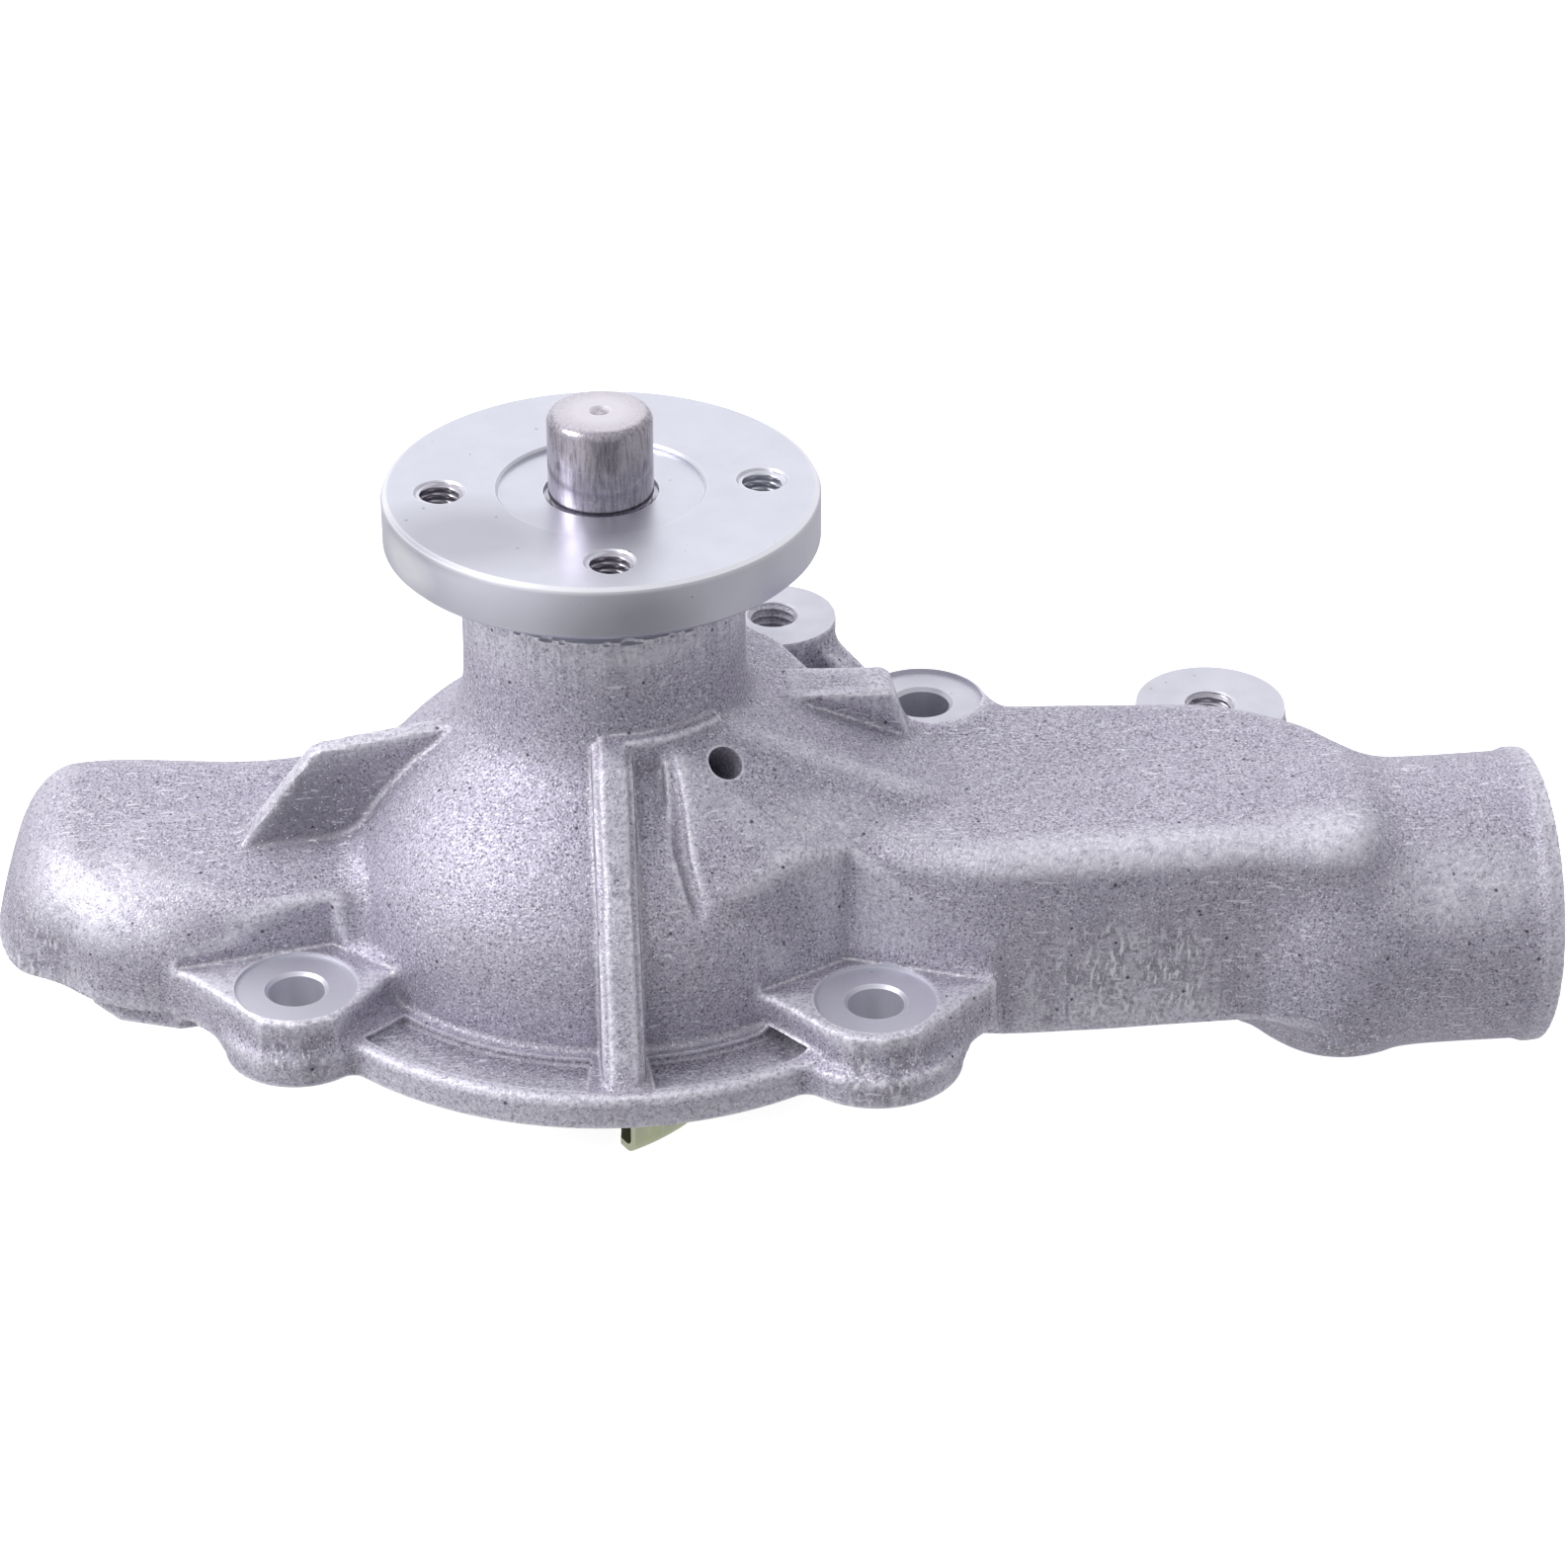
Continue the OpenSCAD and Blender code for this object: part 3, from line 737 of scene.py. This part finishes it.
def cast_sand(p, body, grain):
    """Faint clouds, blotches, and the grain of the sand."""
    cool, warm = (0.80, 0.80, 0.82), (1.12, 1.1, 1.02)
    p.tint(p.ramp(p.noise(14, 3), 0.35, 0.7, 0.0, 0.35), tuple(c * k for c, k in zip(body, cool)))
    p.tint(p.ramp(p.noise(38, 2), 0.45, 0.75, 0.0, 0.3), tuple(c * k for c, k in zip(body, warm)))
    p.tint(p.ramp(p.noise(1.3, 3), 0.47, 0.33, 0.0, 0.45), scaled(body, 0.55))
    p.tint(p.ramp(p.noise(1.0, 3), 0.54, 0.68, 0.0, 0.4), (0.74, 0.72, 0.80))
    p.tint(p.ramp(grain, 0.46, 0.32, 0.0, 0.95), scaled(body, 0.30))
    p.tint(p.ramp(grain, 0.54, 0.68, 0.0, 0.7), (0.80, 0.78, 0.86))


def cast_ridges(p, base):
    """Ridges worn bright, painted shade in the hollows, and crisp edges partly worn and partly
    given a painted highlight. Gives back how much of a ridge each place is.
    """
    bend = p.node("Attribute", attribute_name="edge").outputs["Fac"]
    broken = p.ramp(p.noise(0.8, 4), 0.38, 0.6)
    ridge = p.product(p.ramp(bend, 0.05, 0.26), p.math("MULTIPLY_ADD", broken, 0.75, 0.2))
    # painted shade: the hollows are made darker
    p.tint(p.ramp(bend, -0.05, -0.5, 0.0, 0.6), scaled(base, 0.45))
    p.tint(p.product(ridge, 0.85), WORN_BRIGHT)
    # crisp edges, convex and concave, made near white: partly wear, partly a painted highlight
    p.tint(p.product(p.edges(1.0), p.math("MULTIPLY_ADD", broken, 0.5, 0.5)), EDGE_WEAR_AND_HIGHLIGHT)
    return ridge


def cast_wear(p, base, ridge):
    """Rubbed places, scuffed places that also hold a painted highlight, painted shade on the
    gusset's face, and the scratches on them.
    """
    lean = p.stretched((1.0, 1.0, 0.28), turn=(0.35, 0.5, 0.2))
    scratch = p.ramp(p.noise(0.75, 3, lean), 0.55, 0.63)
    lean = p.stretched((0.16, 1.0, 1.0), turn=(0.3, 0.5, 0.7))
    thin = p.product(p.ramp(p.noise(0.6, 2, lean), 0.62, 0.68), p.ramp(p.noise(16, 2), 0.42, 0.56))
    rubbed = p.product(p.near_any(WORN), p.ramp(p.noise(5, 3), 0.36, 0.56))
    bright = p.product(p.near_any(SCUFFS_AND_HIGHLIGHTS), p.ramp(p.noise(1.4, 4), 0.36, 0.60, 0.15, 0.85))
    dirt = p.ramp(p.noise(1.2, 4), 0.62, 0.42, 0.0, 0.7)
    p.tint(p.product(rubbed, dirt), scaled(base, 0.5))
    # scuffed places made lighter: partly real scuffs, partly a painted highlight
    p.tint(bright, (0.77, 0.76, 0.83))
    # painted shade: the gusset's front face is made darker
    p.tint(p.product(p.near(*GUSSET_PAINTED_SHADE), 0.6), scaled(base, 0.45))
    both = p.math("ADD", rubbed, bright)
    marks = p.math("MULTIPLY_ADD", both, 1.0, p.product(ridge, 0.5))
    p.tint(p.product(marks, scratch), (0.88, 0.87, 0.92))
    p.tint(p.product(thin, 0.8), WORN_BRIGHT)


def cast_surface(name, base, shade=1.0):
    """Sand-like as-cast aluminium with painted glints on its grains, pits, worn edges and scuffs,
    and painted shade and highlights.
    """
    body = scaled(base, shade)
    p = Paint(name, body, 0.55, 0.5)
    grain = p.noise(0.42, 3)
    cast_sand(p, body, grain)
    cast_wear(p, base, cast_ridges(p, base))
    bit, middle = p.grains(0.42)
    # painted glints: single grains made near white
    p.tint(p.product(p.ramp(bit, 0.90, 0.93), p.ramp(middle, 0.55, 0.2)), GLINT)
    pit, dent = p.grains(2.6)
    hole = p.product(p.ramp(pit, 0.80, 0.82), p.ramp(dent, 0.16, 0.10))
    p.tint(p.product(hole, 0.85), PIT)
    p.bump(p.noise(9, 2), 0.5, 0.5)
    p.bump(grain, 0.55, 0.28)
    return p.done(p.ramp(grain, 0.3, 0.7, 0.62, 0.42))


def add_rings(p, size, color, spread, lip):
    """Fine rings about the shaft, and a painted highlight on the hub face outside that radius."""
    radius = p.node("VectorMath", p.stretched((1, 1, 0.02)), operation="LENGTH").outputs["Value"]
    groove = p.noise(size, 3, p.node("CombineXYZ", radius, 0.0, 0.0).outputs[0])
    p.tint(p.ramp(groove, 0.4, 0.68, 0.0, 0.5), scaled(color, 1 - spread))
    p.bump(groove, 0.25, 0.05)
    # painted highlight: the hub face's edge made near white
    at_face = p.near((0, 0, HUB_FACE), (80, 80, 1.4))
    p.tint(p.product(p.ramp(radius, lip, lip + 0.2), at_face), (0.97, 0.97, 1.0))


def add_streaks(p, stretch, color, spread):
    """Dark streaks and bright flecks."""
    line = p.noise(0.5, 3, p.stretched(stretch))
    p.tint(p.ramp(line, 0.42, 0.66, 0.0, 0.75), scaled(color, 1 - spread * 3.5))
    light = tuple(min(1.0, c) for c in scaled(color, 1.45))
    p.tint(p.ramp(p.noise(0.5, 4), 0.58, 0.72, 0.0, 0.6), light)
    p.bump(line, 0.3, 0.08)


def turned_surface(
    name, color, roughness, metallic=1.0, rings=0.0, lip=0.0, streaks=None, bright_end=None,
    places=(), specks=0.5, spread=0.1,
):
    """Machined metal: rings or streaks, faint clouds, specks, a painted highlight at crisp edges,
    and painted shade and highlights at given places.
    """
    p = Paint(name, color, metallic, roughness)
    cloud = p.noise(7, 3)
    p.tint(p.ramp(cloud, 0.35, 0.7, 0.0, 0.5), scaled(color, 1 - spread * 1.6))
    if rings:
        add_rings(p, rings, color, spread, lip)
    # painted shade and painted highlights at the given places
    for centre, size, tone in places:
        p.tint(p.near(centre, size), tone)
    if streaks:
        add_streaks(p, streaks, color, spread)
    if bright_end:
        p.tint(p.near(bright_end, (12, 12, 0.55)), (0.74, 0.71, 0.75))
    p.bump(p.noise(0.35, 2), 0.12, 0.06)
    # painted highlight: crisp edges made near white
    p.tint(p.product(p.edges(0.5), 0.6), (0.93, 0.93, 0.96))
    speck, middle = p.grains(3.2)
    dot = p.product(p.ramp(speck, 0.86, 0.87), p.ramp(middle, 0.11, 0.07))
    p.tint(p.product(dot, specks), (0.12, 0.11, 0.13))
    return p.done(p.ramp(cloud, 0.3, 0.7, roughness * 0.88, roughness * 1.14))


def plain_surface(name, color, metallic, roughness, size, depth=0.08, spread=0.15):
    """Moulded, lapped or pressed surfaces of the small pieces inside."""
    p = Paint(name, color, metallic, roughness)
    cloud = p.noise(size * 6, 3)
    p.tint(p.ramp(cloud, 0.35, 0.7, 0.0, 0.8), scaled(color, 1 - spread))
    p.bump(p.noise(size, 2), 0.3, depth)
    return p.done(p.ramp(cloud, 0.3, 0.7, roughness * 0.85, min(1.0, roughness * 1.15)))


def chromate_surface(name):
    """Yellow-green chromate on pressed steel, with sheared bright edges."""
    p = Paint(name, (0.60, 0.66, 0.42), 0.85, 0.34)
    p.tint(p.ramp(p.noise(9, 2), 0.4, 0.62), (0.74, 0.74, 0.50))
    p.tint(p.ramp(p.noise(5, 2), 0.52, 0.70, 0.0, 0.5), (0.60, 0.56, 0.62))
    line = p.noise(0.5, 3, p.stretched((1, 1, 0.2)))
    p.tint(p.ramp(line, 0.55, 0.75, 0.0, 0.4), (0.84, 0.86, 0.72))
    p.tint(p.product(p.edges(0.35), 0.5), (0.92, 0.92, 0.84))
    p.bump(p.noise(0.6, 2), 0.15, 0.05)
    return p.done(p.ramp(p.noise(9, 2), 0.3, 0.7, 0.26, 0.42))


CAST_COLOR = (0.50, 0.475, 0.575)
cast = cast_surface("cast_aluminium", CAST_COLOR)
# a darker copy of the cast surface for the flange pockets' floors: painted shade
pocket_painted_shade = cast_surface("cast_pockets_painted_shade", CAST_COLOR, 0.72)
machined = turned_surface(
    "machined_aluminium", (0.70, 0.70, 0.77), 0.5, metallic=0.75, specks=0.3, spread=0.06
)
thread = turned_surface("tapped_metal", (0.50, 0.48, 0.54), 0.3, specks=0.0)
hub_metal = turned_surface(
    "turned_steel", (0.70, 0.71, 0.78), 0.34, rings=0.35, lip=HUB_HIGHLIGHT_R, places=HUB_PAINTED_LIGHT,
    spread=0.05,
)
shaft_metal = turned_surface(
    "ground_steel", (0.54, 0.51, 0.57), 0.22, streaks=(1, 1, 0.14), bright_end=(0, 0, SHAFT_TOP),
    specks=0.0, spread=0.15,
)
chromate = chromate_surface("zinc_chromate")
steel = plain_surface("bearing_steel", (0.62, 0.62, 0.65), 1.0, 0.24, 0.4, 0.03)
polished = plain_surface("lapped_steel", (0.82, 0.82, 0.85), 1.0, 0.1, 0.6, 0.01, 0.05)
pressed = plain_surface("pressed_steel", (0.72, 0.72, 0.75), 1.0, 0.3, 0.5, 0.05)
rubber = plain_surface("rubber", (0.035, 0.035, 0.04), 0.0, 0.62, 0.5)
brass = plain_surface("pressed_brass", (0.76, 0.58, 0.28), 1.0, 0.3, 0.6, 0.05)
carbon = plain_surface("lapped_carbon", (0.05, 0.05, 0.055), 0.1, 0.38, 0.3, 0.03)
nylon = plain_surface("moulded_nylon", (0.72, 0.66, 0.50), 0.0, 0.45, 0.5, 0.03, 0.08)
ceramic = plain_surface("lapped_ceramic", (0.86, 0.85, 0.81), 0.0, 0.18, 0.5, 0.01, 0.04)

INSIDE = {
    steel: ("bearing_outer_ring", "impeller_bush"),
    polished: ("bearing_balls", "bearing_rollers"),
    pressed: ("seal_spring_seat", "slinger_ring", "seal_spring"),
    rubber: ("bearing_front_seal", "bearing_rear_seal", "seal_bellows", "ceramic_seat_cup"),
    brass: ("seal_case",),
    carbon: ("seal_carbon_ring",),
    nylon: ("ball_cage", "roller_cage"),
    ceramic: ("ceramic_seat",),
}
for material, names in INSIDE.items():
    for name in names:
        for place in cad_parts[name].material_slots:
            place.material = material

# ---------- Housing ----------

POCKETS = ((-139.5, -98.5), (-87.4, -58.0))  # where each one starts and ends, in degrees
# the nicks along the snout's upper rim, each at an angle and with a width
NICKS = ((-131, 1.6), (-118, 2.6), (-111, 1.2), (-93, 1.4))
NICKS += ((-84, 3.2), (-80, 1.6), (-66, 1.2), (-58, 2.2))


def casting_field():
    """The casting's distances, before it's machined."""
    metal = Casting()
    add_dome(metal)
    add_left_arm(metal)
    add_right_arm(metal)
    add_shoulder(metal)
    add_ribs(metal)
    add_pads(metal)
    add_ears(metal)
    hollow(metal)
    return metal


def trim_housing(housing):
    """Cuts the engine face, the snout's top, the flange's pockets and the nicks in the rim."""
    below = [(-130, -80), (110, -80), (110, 80), (-130, 80)]
    carve(housing, prism_mesh("c", below, -8, 0), machined)
    cut_turned(housing, cylinder(40, SNOUT_TOP, 82), machined)
    for start, end in POCKETS:
        outline = arc(POCKET_R1, start, end, 32) + arc(POCKET_R0, end, start, 32)
        # the pockets' faces take the darker copy: painted shade
        carve(housing, prism_mesh("c", outline, POCKET_Z, FLANGE_T + 1.2), pocket_painted_shade)
    for turn, width in NICKS:
        centre = on_circle(SNOUT_R, turn)
        nick = [(0, SNOUT_TOP - 0.6), (width / 2, SNOUT_TOP - 0.5)]
        nick += [(width / 2 + 0.3, SNOUT_TOP + 1), (0, SNOUT_TOP + 1)]
        cut_turned(housing, nick, machined, centre, 10)


def cut_bolt_hole(housing, centre, top, sunk, spot_r, rim_r, clear):
    """A spot face sunk under the boss's top, and the bolt's hole with its chamfer."""
    face = top - sunk
    cut_turned(housing, cylinder(spot_r, face, clear), machined, centre)
    hole = [(0, -3), (BOLT_R, -3), (BOLT_R, face - sunk), (rim_r, face), (rim_r, clear), (0, clear)]
    cut_turned(housing, hole, machined, centre, 64)


def cut_pad(housing, centre, z, low):
    """A pad's flat top, and its tapped hole down to low."""
    cut_turned(housing, cylinder(16, z, z + 6), machined, centre)
    carve(housing, screw_mesh("c", centre, PAD_THREAD, low, z + 2), thread)
    rim = [(0, z - 0.9), (4.1, z - 0.9), (5.2, z + 0.2), (5.2, z + 1), (0, z + 1)]
    cut_turned(housing, rim, machined, centre, 48)


def cut_seats(housing):
    """The seats of the bearing and the coolant seal, and the weep hole between them."""
    seat = [(0, 10), (SEAL_R, 10), (SEAL_R, SEAL_Z), (DRAIN_R, SEAL_Z), (DRAIN_R, BEARING_Z)]
    seat += [(BEARING_R, BEARING_Z), (BEARING_R, BEARING_TOP), (19.7, SNOUT_TOP), (19.7, 80)]
    cut_turned(housing, seat + [(0, 80)], machined)
    drill = lathe_mesh("c", cylinder(WEEP_R, 0, 45), segments=40)
    way = Vector(WEEP_WAY).to_track_quat("Z", "Y").to_matrix().to_4x4()
    drill.transform(Matrix.Translation(Vector(WEEP_START) * MM) @ way)
    carve(housing, drill, cast)


def mark_edges(obj, metal, bend):
    """Notes on each vertex how much of a ridge or a hollow it's on, for the cast surface."""
    co = np.empty(len(obj.data.vertices) * 3)
    obj.data.vertices.foreach_get("co", co)
    values = sample(bend, metal.axes, co.reshape(-1, 3) / MM).astype(np.float32)
    obj.data.attributes.new("edge", "FLOAT", "POINT").data.foreach_set("value", values)


def build_housing():
    """The casting with all that's machined into it."""
    metal = casting_field()
    housing = new_object("housing", metal.mesh("housing"), cast, machined, pocket_painted_shade)
    thin = housing.modifiers.new("thin", "DECIMATE")
    thin.ratio = THIN_RATIO
    apply(housing, thin)
    trim_housing(housing)
    for ear in (EAR_LEFT, EAR_RIGHT, EAR_BACK):
        cut_bolt_hole(housing, ear, EAR_H, sunk=0.6, spot_r=SPOT_R, rim_r=5.8, clear=20)
    cut_bolt_hole(housing, REAR_BOLT, ARM_TOP, sunk=0.7, spot_r=REAR_SPOT_R, rim_r=5.9, clear=46)
    cut_pad(housing, PAD_A, PAD_A_Z, PAD_A_Z - 22)
    cut_pad(housing, PAD_C, PAD_C_Z, -2)
    cut_seats(housing)
    mark_edges(housing, metal, smoothed(metal.d, EDGE_PASSES) - metal.d)
    return housing


finish_piece(build_housing(), "housing", "pump_housing")

# ---------- Fan hub ----------

RECESS_Z = HUB_FACE - HUB_RECESS
HUB_LOW = HUB_FACE - HUB_T
BOSS_LOW = SNOUT_TOP + 1.4


def build_hub():
    """The turned hub with its boss, its recess and four tapped holes."""
    profile = [(0, BOSS_LOW), (BOSS_R - 0.5, BOSS_LOW), (BOSS_R, BOSS_LOW + 0.5)]
    profile += [(BOSS_R, HUB_LOW - 2), (BOSS_R + 0.6, HUB_LOW - 0.6), (BOSS_R + 2, HUB_LOW)]
    profile += [(HUB_R - 0.8, HUB_LOW), (HUB_R, HUB_LOW + 0.8), (HUB_R, HUB_FACE - 1.1)]
    profile += [(HUB_R - 0.3, HUB_FACE - 0.5), (HUB_R - 1.1, HUB_FACE), (RECESS_R + 0.5, HUB_FACE)]
    profile += [(RECESS_R + 0.1, HUB_FACE - 0.4), (RECESS_R, RECESS_Z), (0, RECESS_Z)]
    hub = new_object("fan_hub_body", lathe_mesh("hub", profile, segments=160), hub_metal)
    bore = [(0, 70), (SHAFT_R, 70), (SHAFT_R, RECESS_Z - 1.4), (SHAFT_R + 0.9, RECESS_Z - 1.2)]
    cut_turned(hub, bore + [(SHAFT_R + 1.0, 99), (0, 99)], hub_metal)
    rim = [(0, HUB_FACE - 0.5), (4.2, HUB_FACE - 0.5), (4.75, HUB_FACE + 0.05), (4.75, 97), (0, 97)]
    for k in range(4):
        centre = on_circle(HUB_CIRCLE_R, HUB_PHASE + 90 * k)
        carve(hub, screw_mesh("c", centre, HUB_THREAD, HUB_LOW - 1, HUB_FACE + 1), thread)
        cut_turned(hub, rim, hub_metal, centre, 48)
    return hub


finish_piece(build_hub(), "rotor", "fan_hub", sharp=28)

# ---------- Shaft ----------


def build_shaft():
    """The shaft with its ball groove, and the ground pilot with a centre hole in its end."""
    top, r = SHAFT_TOP, PILOT_R
    profile = [(0, SHAFT_END), (SHAFT_SMALL_R - 0.6, SHAFT_END), (SHAFT_SMALL_R, SHAFT_END + 0.6)]
    profile += [(SHAFT_SMALL_R, 36.2), (SHAFT_R, 37)]
    for h in np.linspace(-2.6, 2.6, 13):
        profile.append((BALL_RACE_R - math.sqrt(BALL_GROOVE_R**2 - h * h), BALL_Z + h))
    profile += [(SHAFT_R, RECESS_Z - 1.2), (UNDERCUT_R, RECESS_Z - 1.2), (UNDERCUT_R, RECESS_Z)]
    profile += [(r, RECESS_Z), (r, top - 1.7), (r - 0.25, top - 1.1), (r - 0.75, top - 0.45)]
    profile += [(r - 1.5, top - 0.05), (r - 2.0, top), (2.0, top), (1.5, top - 0.35)]
    profile += [(0, top - 1.1)]
    return new_object("shaft", lathe_mesh("shaft", profile, segments=128), shaft_metal)


finish_piece(build_shaft(), "rotor", "pump_shaft", sharp=28)

# ---------- Impeller ----------

first_turn = math.radians(VANE_START)
vane_centre = Vector((-VANE_R * math.cos(first_turn), -TIP_R - VANE_R * math.sin(first_turn), 0))
wall_out, wall_in = VANE_R + SHEET / 2, VANE_R - SHEET / 2


def bent_sheet():
    """One finger of the plate with its vane, as a section swept about the vane's centre."""
    outer = arc(BEND_R, -90, 0, 6, (wall_out - BEND_R, LOW_Z + BEND_R))
    inner = arc(BEND_R - SHEET, 0, -90, 6, (wall_out - BEND_R, LOW_Z + BEND_R))
    wall = [(wall_out, VANE_TOP - 0.3), (wall_out - 0.3, VANE_TOP)]
    wall += [(wall_in + 0.3, VANE_TOP), (wall_in, VANE_TOP - 0.3)]
    bm = bmesh.new()
    rows = []
    for t in np.linspace(VANE_START, VANE_START + VANE_SWEEP, 29):
        reach = max(14.0, 35.6 - 0.9 * (t - VANE_START))
        section = [(reach, LOW_Z)] + outer + wall + inner + [(reach, LOW_Z + SHEET)]
        c, s = math.cos(math.radians(t)), math.sin(math.radians(t))
        spots = ((vane_centre.x + q * c, vane_centre.y + q * s, h) for q, h in section)
        rows.append([bm.verts.new(spot) for spot in spots])
    for low, high in zip(rows, rows[1:]):
        for k in range(len(section)):
            n = (k + 1) % len(section)
            bm.faces.new((low[k], low[n], high[n], high[k]))
    bm.faces.new(rows[0][::-1])
    bm.faces.new(rows[-1])
    return finished_mesh("vane", bm)


def build_impeller():
    """The plate with its vanes, the bush's hole and the holes that balance the pressure."""
    top = LOW_Z + SHEET
    plate = [(0, LOW_Z), (PLATE_R - 0.2, LOW_Z), (PLATE_R, LOW_Z + 0.2)]
    plate += [(PLATE_R, top - 0.2), (PLATE_R - 0.2, top), (0, top)]
    impeller = new_object("impeller_sheet", lathe_mesh("impeller", plate), chromate)
    step = 360 // VANES
    for k in range(VANES):
        vane = bent_sheet()
        vane.transform(Matrix.Rotation(math.radians(step * k), 4, "Z"))
        carve(impeller, vane, chromate, "UNION")
    cut_turned(impeller, cylinder(10, LOW_Z - 4, LOW_Z + 6), chromate)
    for k in range(VANES):
        centre = on_circle(19, step * k + 12)
        cut_turned(impeller, cylinder(2.5, LOW_Z - 4, LOW_Z + 6), chromate, centre, 32)
    return impeller


finish_piece(build_impeller(), "rotor", "impeller", sharp=40)

# ---------- Stage, light and camera ----------

FLOOR_Z, FLOOR_HALF = -0.0201, 6
KEY_PLACE, KEY_AIM = (-0.85, -0.15, 0.8), (0.02, 0, 0)
CAMERA_PLACE = (-0.0532, -0.7564, 0.4829)
CAMERA_RIGHT, CAMERA_UP = (0.9936, -0.1132, 0.0), (0.0579, 0.5080, 0.8594)
CAMERA_BACK = (-0.0973, -0.8539, 0.5113)
CAMERA_LENS, CAMERA_SENSOR = 108.9, 36.0
# a soft box of light all round, with brighter and darker sides
SKY_BASE, SKY_COLOR = 0.60, (0.97, 0.965, 1.0, 1)
# a direction, the cosines off it where the side fades in and where it's full, and what it adds
SIDES = [
    ((0, 0, 1), 0.3, 1.0, 0.15),
    ((-0.1, 0.85, 0.5), 0.35, 1.0, 0.5),
    ((-0.85, -0.25, 0.45), 0.45, 1.0, 0.4),
    ((0.1, -0.86, -0.5), 0.72, 0.97, -0.32),
    ((0.8, -0.55, 0.2), 0.3, 1.0, -0.10),
]

scene = bpy.context.scene
scene.view_settings.view_transform = "Standard"


def lay_floor():
    """White paper that shines a little, and that the metal doesn't mirror."""
    h, z = FLOOR_HALF, FLOOR_Z
    mesh = bpy.data.meshes.new("floor")
    mesh.from_pydata([(-h, -h, z), (h, -h, z), (h, h, z), (-h, h, z)], [], [(0, 1, 2, 3)])
    paper = bpy.data.materials.new("paper")
    paper.use_nodes = True
    shader = paper.node_tree.nodes["Principled BSDF"]
    shader.inputs["Base Color"].default_value = (0.9, 0.9, 0.9, 1)
    shader.inputs["Emission Color"].default_value = (1, 1, 1, 1)
    shader.inputs["Emission Strength"].default_value = 0.8
    floor = new_object("floor", mesh, paper)
    floor.visible_diffuse = floor.visible_glossy = False


def light_sky():
    """The world's light, as a sum of an even light and the sides."""
    world = bpy.data.worlds.new("studio")
    scene.world = world
    world.use_nodes = True
    sky = world.node_tree
    way = sky.nodes.new("ShaderNodeTexCoord").outputs["Generated"]
    total = None
    for direction, low, high, amount in SIDES:
        facing = sky.nodes.new("ShaderNodeVectorMath")
        facing.operation = "DOT_PRODUCT"
        facing.inputs[1].default_value = Vector(direction).normalized()
        sky.links.new(way, facing.inputs[0])
        fade = sky.nodes.new("ShaderNodeMapRange")
        fade.interpolation_type = "SMOOTHSTEP"
        fade.inputs["From Min"].default_value = low
        fade.inputs["From Max"].default_value = high
        fade.inputs["To Min"].default_value = 0
        fade.inputs["To Max"].default_value = amount
        sky.links.new(facing.outputs["Value"], fade.inputs["Value"])
        add = sky.nodes.new("ShaderNodeMath")
        add.inputs[0].default_value = SKY_BASE
        if total:
            sky.links.new(total, add.inputs[0])
        sky.links.new(fade.outputs[0], add.inputs[1])
        total = add.outputs[0]
    sky.links.new(total, sky.nodes["Background"].inputs["Strength"])
    sky.nodes["Background"].inputs["Color"].default_value = SKY_COLOR


def hang_lamp():
    """A broad soft lamp, high on the left."""
    lamp = bpy.data.lights.new("key", "AREA")
    lamp.shape, lamp.size, lamp.energy = "DISK", 0.5, 5.5
    lamp.color = (1.0, 0.985, 1.0)
    key = bpy.data.objects.new("key", lamp)
    scene.collection.objects.link(key)
    key.location = KEY_PLACE
    key.rotation_euler = (Vector(KEY_AIM) - key.location).to_track_quat("-Z", "Y").to_euler()


def place_camera():
    """The camera, in front of the pump and above it."""
    data = bpy.data.cameras.new("camera")
    data.lens, data.sensor_width = CAMERA_LENS, CAMERA_SENSOR
    camera = bpy.data.objects.new("camera", data)
    scene.collection.objects.link(camera)
    aim = Matrix((CAMERA_RIGHT, CAMERA_UP, CAMERA_BACK)).transposed().to_4x4()
    camera.matrix_world = Matrix.Translation(CAMERA_PLACE) @ aim
    scene.camera = camera


lay_floor()
light_sky()
hang_lamp()
place_camera()
